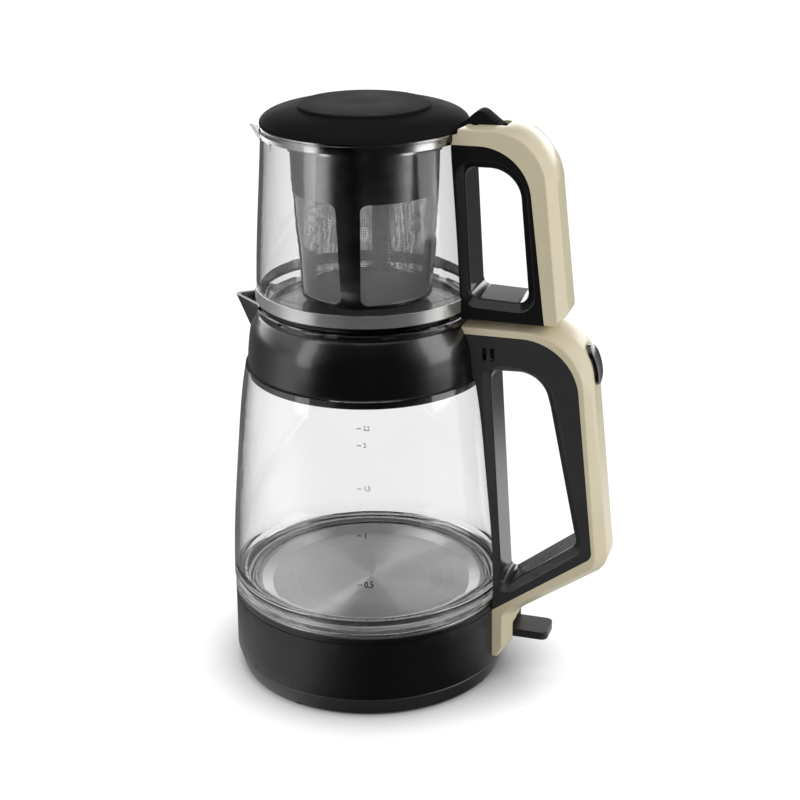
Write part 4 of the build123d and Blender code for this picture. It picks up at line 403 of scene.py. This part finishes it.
def make_infuser_mesh():
    """The basket's side: round wires on straight ones, inside the ribs."""
    low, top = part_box("infuser_mesh")

    def radius(height):
        """Of the mesh's middle at a height."""
        share = min(1.0, max(0.0, (height - low[2]) / (MESH_WAIST_Z - low[2])))
        return MESH_LOW_R + (MESH_TOP_R - MESH_LOW_R) * share

    points, faces = [], []
    height = low[2] + WIRE_R
    while height < top[2] - WIRE_R:
        add_ring_wire(points, faces, radius(height) + CROSS_OVER, height)
        height += WIRE_PITCH
    count = round(2 * pi * MESH_TOP_R / WIRE_PITCH)
    for number in range(count):
        angle = 2 * pi * number / count
        outward = Vector((cos(angle), sin(angle), 0))
        path = [outward * (radius(z) - CROSS_OVER) + Vector((0, 0, z))
                for z in (low[2], MESH_WAIST_Z, top[2])]
        add_straight_wire(points, faces, path, Vector((-sin(angle), cos(angle), 0)), outward)
    new_piece("infuser_wire_side", points, faces, "wire", "infuser", ["infuser_mesh"])


def make_infuser_base():
    """The basket's floor: a flat grid of wires cut to a disc."""
    low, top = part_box("infuser_base_mesh")
    edge = top[0]
    middle = (low[2] + top[2]) / 2
    points, faces = [], []
    count = int(edge / WIRE_PITCH)
    for number in range(-count, count + 1):
        aside = number * WIRE_PITCH
        half = (edge ** 2 - aside ** 2) ** 0.5
        under, over = middle - CROSS_OVER / 2, middle + CROSS_OVER / 2
        path = [Vector((aside, -half, under)), Vector((aside, half, under))]
        add_straight_wire(points, faces, path, Vector((1, 0, 0)), Vector((0, 0, 1)))
        path = [Vector((-half, aside, over)), Vector((half, aside, over))]
        add_straight_wire(points, faces, path, Vector((0, 0, 1)), Vector((0, 1, 0)))
    new_piece("infuser_wire_floor", points, faces, "wire", "infuser", ["infuser_base_mesh"])


make_infuser_mesh()
make_infuser_base()

# ---------------------------------------------------------------- level marks on the kettle
# (words, height of the dash, radius there, letter height, finish); the scale faces the camera's side
MARKS = (
    ("0,5", 87.5, 83.19, 3.9, "mark_black"), ("1", 117.6, 81.12, 3.4, "mark_black"),
    ("1,5", 145.6, 78.64, 2.9, "mark_grey"), ("2", 170.8, 75.95, 2.7, "mark_grey"),
    ("2,2", 180.6, 74.74, 2.6, "mark_grey"))
MARK_TURN = radians(-76.5)
DASH_L = 2.5 * MM
DASH_H = 0.55 * MM
STROKE_SHARE = 0.030          # of a figure's height that its outline is thickened by
LETTER_START = 3.8 * MM
LETTER_WIDTH = 0.80
CAP_SHARE = 0.72              # of the font's size that a figure is high
PRINT_LIFT = 0.05 * MM
GLASS_LEAN = 0.088            # of the wall, inwards per length upwards


def wrapped(points, radius, height):
    """Flat points (x, y) laid round the kettle's leaning wall."""
    laid = []
    for x, y in points:
        angle = MARK_TURN + x / radius
        reach = radius + PRINT_LIFT - GLASS_LEAN * y
        laid.append((reach * cos(angle), reach * sin(angle), height + y))
    return laid


def letter_shapes(words, size):
    """Filled outlines of a line of figures, as flat points and faces."""
    curve = bpy.data.curves.new("figures", "FONT")
    curve.body = words
    curve.size = size / CAP_SHARE
    curve.offset = size * STROKE_SHARE
    curve.align_y = "CENTER"
    holder = bpy.data.objects.new("figures", curve)
    bpy.context.scene.collection.objects.link(holder)
    bpy.context.view_layer.update()
    flat = bpy.data.meshes.new_from_object(holder)
    points = [(corner.co.x * LETTER_WIDTH + LETTER_START, corner.co.y) for corner in flat.vertices]
    faces = [tuple(face.vertices) for face in flat.polygons]
    bpy.data.objects.remove(holder)
    bpy.data.meshes.remove(flat)
    return points, faces


def make_marks():
    """The printed scale: a dash and a figure for each level."""
    for words, height, radius, size, finish in MARKS:
        points, faces = letter_shapes(words, size * MM)
        start = len(points)
        points += [(0, -DASH_H / 2), (DASH_L, -DASH_H / 2), (DASH_L, DASH_H / 2), (0, DASH_H / 2)]
        faces.append((start, start + 1, start + 2, start + 3))
        new_piece("mark_" + words.replace(",", "_"), wrapped(points, radius * MM, height * MM), faces,
                  finish, "kettle")


make_marks()

# ---------------------------------------------------------------- lid lever
LEVER_HINGE = (66.5, 333.6)    # x and z of the lid's pin, mm
LEVER_HALF_W = 6.0
# side view from the hinge: tail on the lid, hollow rise, crown, thumb face, tip, underside
LEVER_SIDE = (
    (-11.3, 5.9), (-8.6, 7.0), (-6.2, 8.5), (-4.0, 10.3), (-2.1, 12.0), (-0.5, 13.2), (1.2, 14.0),
    (2.9, 14.1), (4.6, 13.5), (6.2, 12.4), (8.0, 11.0), (11.6, 8.2), (15.0, 5.6), (16.7, 4.3),
    (17.4, 3.7), (16.3, 2.4), (10.0, 1.1), (3.2, 0.0), (2.3, -2.2), (0.0, -3.2), (-2.3, -2.2),
    (-3.6, 0.9), (-8.4, 3.9))
THUMB_TOP = (5.2, 13.0)
THUMB_FOOT = (12.4, 7.5)
THUMB_RIBS = 4
RIB_HALF = (0.35, 3.4, 0.45)          # along the face, across it, out of it
LEVER_ROUND = 0.9
LEVER_EDGE = radians(60)              # the least angle of an edge that is rounded
RIB_ROUND = 0.15
RIB_EDGE = radians(80)


def add_rib(points, faces, middle, along, outward):
    """A small block on the thumb face, given by its middle and two directions."""
    first = len(points)
    for a in (-1, 1):
        for b in (-1, 1):
            for c in (-1, 1):
                corner = middle + along * (a * RIB_HALF[0]) + outward * (c * RIB_HALF[2])
                points.append((corner.x * MM, b * RIB_HALF[1] * MM, corner.z * MM))
    for face in ((0, 1, 3, 2), (4, 6, 7, 5), (0, 4, 5, 1), (2, 3, 7, 6), (0, 2, 6, 4), (1, 5, 7, 3)):
        faces.append(tuple(first + corner for corner in face))


def make_lever():
    """The thumb lever that opens the lid, with a few ribs on its thumb face."""
    points, faces = [], []
    count = len(LEVER_SIDE)
    for side in (-LEVER_HALF_W, LEVER_HALF_W):
        for x, z in LEVER_SIDE:
            points.append(((LEVER_HINGE[0] + x) * MM, side * MM, (LEVER_HINGE[1] + z) * MM))
    for step in range(count):
        nearby = (step + 1) % count
        faces.append((step, nearby, count + nearby, count + step))
    faces.append(tuple(reversed(range(count))))
    faces.append(tuple(range(count, 2 * count)))
    run = Vector((THUMB_FOOT[0] - THUMB_TOP[0], 0, THUMB_FOOT[1] - THUMB_TOP[1]))
    along = run.normalized()
    outward = Vector((-along.z, 0, along.x))
    for number in range(THUMB_RIBS):
        middle = Vector((LEVER_HINGE[0] + THUMB_TOP[0], 0, LEVER_HINGE[1] + THUMB_TOP[1]))
        middle += run * ((number + 0.5) / THUMB_RIBS)
        add_rib(points, faces, middle, along, outward)
    lever = new_piece("thumb_lever", points, faces, "lid_black", "lid", ["lid_lever"])
    shape = bmesh.new()
    shape.from_mesh(lever.data)
    bmesh.ops.recalc_face_normals(shape, faces=shape.faces)
    body_edges = [edge for edge in shape.edges
                  if len(edge.link_faces) == 2 and edge.calc_face_angle() > LEVER_EDGE
                  and max(abs(corner.co.y) for corner in edge.verts) > (LEVER_HALF_W - 0.1) * MM]
    bmesh.ops.bevel(shape, geom=body_edges, offset=LEVER_ROUND * MM, segments=4, profile=0.5,
                    affect="EDGES")
    rib_edges = [edge for edge in shape.edges if edge.calc_face_angle(0) > RIB_EDGE]
    bmesh.ops.bevel(shape, geom=rib_edges, offset=RIB_ROUND * MM, segments=2, profile=0.5,
                    affect="EDGES")
    shape.to_mesh(lever.data)
    shape.free()
    lever.data.polygons.foreach_set("use_smooth", [True] * len(lever.data.polygons))


make_lever()

# ---------------------------------------------------------------- softened edges
EDGE_ROUNDS = {
    "handle_shell": 0.4, "teapot_handle_shell": 0.7, "handle_frame": 0.3, "teapot_handle_frame": 0.3,
    "base_ring": 0.4, "base_shell": 0.7, "switch_lever": 0.7, "screw_cap": 0.3,
    "steam_ring": 0.4, "kettle_collar": 0.3, "lid_disc": 0.5, "mode_button": 0.4,
}
WELD_REACH = 0.01
EDGE_ANGLE = radians(25)


def add_weld(node_name):
    """Joins the corners of a CAD piece's facets, which the modifiers after it need."""
    weld = NODES[node_name].modifiers.new("weld", "WELD")
    weld.merge_threshold = WELD_REACH * MM


for node_name, width in EDGE_ROUNDS.items():
    add_weld(node_name)
    bevel = NODES[node_name].modifiers.new("bevel", "BEVEL")
    bevel.width = width * MM
    bevel.segments = 3
    bevel.limit_method = "ANGLE"
    bevel.angle_limit = EDGE_ANGLE
    bevel.harden_normals = True

# a hair's breadth between the seal and the glass that stands on it
SEAL_SHRINK = 0.03
add_weld("plate_seal")
shrink = NODES["plate_seal"].modifiers.new("shrink", "DISPLACE")
shrink.mid_level = 0.0
shrink.strength = -SEAL_SHRINK * MM

# ---------------------------------------------------------------- stage, lamps, world
FLOOR_REACH = 6.0
FLOOR_COLOUR = (0.86, 0.86, 0.86)     # as it lights the object
FLOOR_SEEN = (0.20, 0.20, 0.20)       # as it takes the lamps' light in the view
FLOOR_VARIATION = 0.01
FLOOR_GLOW = 1.56                     # its own light in the view, dimmed into a painted shadow where the object is near
FLOOR_LIMIT = 0.95
# the painted shadow on the floor: its reach, depth, lean and samples
PAINTED_SHADOW_REACH = 0.07
PAINTED_SHADOW_DEPTH = 2.0
PAINTED_SHADOW_LEAN = (-0.56, -0.54, 0.62)   # the lean of the painted shadow's sampling; the painted shadow reaches furthest on the side away from it
PAINTED_SHADOW_SAMPLES = 16
WORLD_DIFFUSE = 0.50
# What shiny surfaces see round the object, as (degrees from the camera's side, brightness).
SURROUND = (
    (-180, 0.14), (-140, 0.14), (-115, 0.18), (-96, 0.40), (-80, 0.75), (-66, 0.55), (-50, 0.04),
    (0, 0.012), (30, 0.015), (46, 0.06), (58, 0.28), (74, 0.60), (90, 0.95), (108, 1.00), (124, 0.55),
    (138, 0.14), (180, 0.14))
# Near the foot of the object, where the floor lights the low walls.
NEAR_FLOOR = (
    (-180, 0.20), (-120, 0.20), (-90, 0.45), (-60, 0.50), (-40, 0.50), (-24, 0.16), (-8, 0.03),
    (20, 0.03), (46, 0.05), (66, 0.30), (90, 0.60), (108, 0.90), (128, 1.00), (150, 1.00), (180, 0.20))
# In a band just above the horizon, which the heater plate mirrors.
LOW_BAND = (
    (-180, 4.00), (-150, 4.00), (-110, 0.80), (-70, 0.60), (-40, 0.03), (0, 0.02),
    (40, 0.03), (70, 0.60), (110, 0.80), (150, 4.00), (180, 4.00))
# Above the level of the object.
UPPER = (
    (-180, 0.12), (-162, 0.14), (-140, 0.60), (-110, 0.90), (-70, 0.60), (-40, 0.03), (0, 0.02),
    (40, 0.03), (70, 0.60), (110, 0.90), (140, 0.60), (162, 0.14), (180, 0.12))
OVERHEAD = 0.8                        # straight above
# Where each gives way to the next: from SURROUND outwards along the floor in metres, then up the sky
# as the height of the direction.
NEAR_REACH = (0.30, 0.55)
BAND_START = (0.0, 0.06)
UPPER_START = (0.20, 0.36)
OVERHEAD_START = (0.66, 0.82)
# (name, azimuth in degrees, distance, height, width, tall, radiance)
SOFTBOXES = (
    ("softbox_left", -42, 1.5, 0.55, 0.40, 1.5, 1.7),
    ("softbox_right", 92, 1.5, 0.60, 0.9, 1.7, 1.9),
    ("softbox_top", -105, 0.8, 1.6, 1.1, 0.8, 1.3),
)
SOFTBOX_AIM = Vector((0, 0, 0.18))


def rays_seen(tree, kinds):
    """1 for the rays of the given kinds, otherwise 0."""
    path = add_node(tree, "ShaderNodeLightPath")
    total = path.outputs[kinds[0]]
    for kind in kinds[1:]:
        total = maths(tree, "MAXIMUM", total, path.outputs[kind])
    return total


def clear_rays(tree):
    """1 for rays that reach this straight or through glass, without a bounce off another surface."""
    path = add_node(tree, "ShaderNodeLightPath")
    bounces = maths(tree, "ADD", path.outputs["Glossy Depth"], path.outputs["Diffuse Depth"])
    none = maths(tree, "LESS_THAN", bounces, 0.5)
    return maths(tree, "MULTIPLY", none, rays_seen(tree, ("Is Camera Ray", "Is Transmission Ray")))


def shiny_rays(tree):
    """1 for rays that have bounced off something shiny and nothing matt."""
    path = add_node(tree, "ShaderNodeLightPath")
    glossy = maths(tree, "GREATER_THAN", path.outputs["Glossy Depth"], 0.5)
    matt = maths(tree, "LESS_THAN", path.outputs["Diffuse Depth"], 0.5)
    return maths(tree, "MULTIPLY", glossy, matt)


def surround(tree, direction, brightness):
    """Brightness of the studio by the direction about the object, from (degrees, value) stops."""
    split = add_node(tree, "ShaderNodeSeparateXYZ")
    tree.links.new(direction, split.inputs["Vector"])
    front = maths(tree, "MULTIPLY", split.outputs["Y"], -1.0)
    turn = maths(tree, "ARCTAN2", split.outputs["X"], front)
    share = maths(tree, "MULTIPLY_ADD", turn, 1 / (2 * pi), 0.5 - CAMERA_AZIMUTH / (2 * pi))
    ramp = add_node(tree, "ShaderNodeValToRGB")
    ramp.color_ramp.interpolation = "CARDINAL"
    stops = ramp.color_ramp.elements
    while len(stops) > 1:
        stops.remove(stops[-1])
    # a colour ramp holds no value above 1, so its result is scaled
    peak = max(1.0, max(value for degrees, value in brightness))
    stops[0].position = 0.0
    stops[0].color = (brightness[0][1] / peak,) * 3 + (1,)
    for degrees, value in brightness[1:]:
        stop = stops.new((degrees + 180) / 360)
        stop.color = (value / peak,) * 3 + (1,)
    tree.links.new(maths(tree, "FRACT", share), ramp.inputs["Fac"])
    scaled = add_node(tree, "ShaderNodeVectorMath", operation="SCALE")
    scaled.inputs["Scale"].default_value = peak
    tree.links.new(ramp.outputs["Color"], scaled.inputs[0])
    return scaled.outputs["Vector"]


def smooth_step(tree, source, low, high):
    """0 below a value, 1 above another and smooth between them."""
    node = add_node(tree, "ShaderNodeMapRange", interpolation_type="SMOOTHSTEP")
    node.inputs["From Min"].default_value = low
    node.inputs["From Max"].default_value = high
    tree.links.new(source, node.inputs["Value"])
    return node.outputs["Result"]


def blended(tree, share, first, second):
    """Two colours mixed by a share; the second may be a plain brightness."""
    node = add_node(tree, "ShaderNodeMix", data_type="RGBA")
    tree.links.new(share, node.inputs[0])
    tree.links.new(first, node.inputs[6])
    if isinstance(second, float):
        node.inputs[7].default_value = (second, second, second, 1)
    else:
        tree.links.new(second, node.inputs[7])
    return node.outputs[2]


def chosen(tree, share, first, second):
    """The first shader, or where the share is 1 the second."""
    mix = add_node(tree, "ShaderNodeMixShader")
    tree.links.new(share, mix.inputs["Fac"])
    tree.links.new(first, mix.inputs[1])
    tree.links.new(second, mix.inputs[2])
    return mix.outputs["Shader"]


def floor_in_view(tree, slow):
    """The floor as the camera sees it: pale, with a painted soft shadow, ambient occlusion dimming its
    glow where the object is near.
    """
    near = add_node(tree, "ShaderNodeAmbientOcclusion", samples=PAINTED_SHADOW_SAMPLES)
    near.inputs["Distance"].default_value = PAINTED_SHADOW_REACH
    near.inputs["Normal"].default_value = PAINTED_SHADOW_LEAN
    # painted shadow: ambient occlusion, raised to a power, dims the floor's glow
    painted_shade = maths(tree, "POWER", near.outputs["AO"], PAINTED_SHADOW_DEPTH)
    glow = add_node(tree, "ShaderNodeEmission")
    tree.links.new(maths(tree, "MINIMUM", maths(tree, "MULTIPLY", painted_shade, FLOOR_GLOW), FLOOR_LIMIT),
                   glow.inputs["Strength"])
    pale = add_node(tree, "ShaderNodeBsdfDiffuse")
    tree.links.new(tint(tree, slow, FLOOR_SEEN, FLOOR_VARIATION), pale.inputs["Color"])
    lit = add_node(tree, "ShaderNodeAddShader")
    tree.links.new(pale.outputs["BSDF"], lit.inputs[0])
    tree.links.new(glow.outputs["Emission"], lit.inputs[1])
    return lit.outputs["Shader"]


def make_floor():
    """The pale floor, with a look of its own for the view, for bounces and for reflections."""
    mesh = bpy.data.meshes.new("floor")
    corners = [(FLOOR_REACH * x, FLOOR_REACH * y, 0) for x, y in ((-1, -1), (1, -1), (1, 1), (-1, 1))]
    mesh.from_pydata(corners, [], [(0, 1, 2, 3)])
    floor = bpy.data.objects.new("floor", mesh)
    bpy.context.scene.collection.objects.link(floor)
    made, tree, output = new_material("floor")
    place = add_node(tree, "ShaderNodeTexCoord").outputs["Object"]
    slow = noise(tree, place, FLOOR_SLOW, 2)
    matt = add_node(tree, "ShaderNodeBsdfDiffuse")
    tree.links.new(tint(tree, slow, FLOOR_COLOUR, FLOOR_VARIATION), matt.inputs["Color"])
    seen = chosen(tree, clear_rays(tree), matt.outputs["BSDF"], floor_in_view(tree, slow))
    reach = add_node(tree, "ShaderNodeVectorMath", operation="LENGTH")
    tree.links.new(place, reach.inputs[0])
    away = smooth_step(tree, reach.outputs["Value"], *NEAR_REACH)
    mirrored = add_node(tree, "ShaderNodeEmission")
    tree.links.new(blended(tree, away, surround(tree, place, NEAR_FLOOR), surround(tree, place, SURROUND)),
                   mirrored.inputs["Color"])
    tree.links.new(chosen(tree, shiny_rays(tree), seen, mirrored.outputs["Emission"]),
                   output.inputs["Surface"])
    mesh.materials.append(made)


def backdrop(tree, colour, strength):
    """A background of a plain colour."""
    node = add_node(tree, "ShaderNodeBackground")
    node.inputs["Color"].default_value = (*colour, 1)
    node.inputs["Strength"].default_value = strength
    return node.outputs["Background"]


def make_world():
    """White behind the object, an even fill on matt surfaces and the studio in shiny ones."""
    world = bpy.data.worlds.new("studio")
    bpy.context.scene.world = world
    world.use_nodes = True
    tree = world.node_tree
    tree.nodes.clear()
    output = add_node(tree, "ShaderNodeOutputWorld")
    direction = add_node(tree, "ShaderNodeTexCoord").outputs["Generated"]
    split = add_node(tree, "ShaderNodeSeparateXYZ")
    tree.links.new(direction, split.inputs["Vector"])
    sky = surround(tree, direction, SURROUND)
    for start, above in ((BAND_START, surround(tree, direction, LOW_BAND)),
                         (UPPER_START, surround(tree, direction, UPPER)), (OVERHEAD_START, OVERHEAD)):
        sky = blended(tree, smooth_step(tree, split.outputs["Z"], *start), sky, above)
    shine = add_node(tree, "ShaderNodeBackground")
    tree.links.new(sky, shine.inputs["Color"])
    bounced = chosen(tree, shiny_rays(tree), backdrop(tree, WHITE, WORLD_DIFFUSE),
                     shine.outputs["Background"])
    tree.links.new(chosen(tree, clear_rays(tree), bounced, backdrop(tree, WHITE, 1.0)),
                   output.inputs["Surface"])


def softbox(name, azimuth, distance, height, width, tall, radiance):
    """A large rectangular lamp at an azimuth seen from above, aimed at the object. 0 is towards -Y."""
    data = bpy.data.lights.new(name, "AREA")
    data.shape = "RECTANGLE"
    data.size, data.size_y = width, tall
    data.energy = radiance * pi * width * tall
    lamp = bpy.data.objects.new(name, data)
    bpy.context.scene.collection.objects.link(lamp)
    turn = radians(azimuth)
    lamp.location = (distance * sin(turn), -distance * cos(turn), height)
    lamp.rotation_mode = "QUATERNION"
    lamp.rotation_quaternion = (SOFTBOX_AIM - lamp.location).to_track_quat("-Z", "Y")


make_camera()
make_floor()
make_world()
for values in SOFTBOXES:
    softbox(*values)
bpy.context.scene.view_settings.view_transform = "Standard"
bpy.context.scene.cycles.use_denoising = True
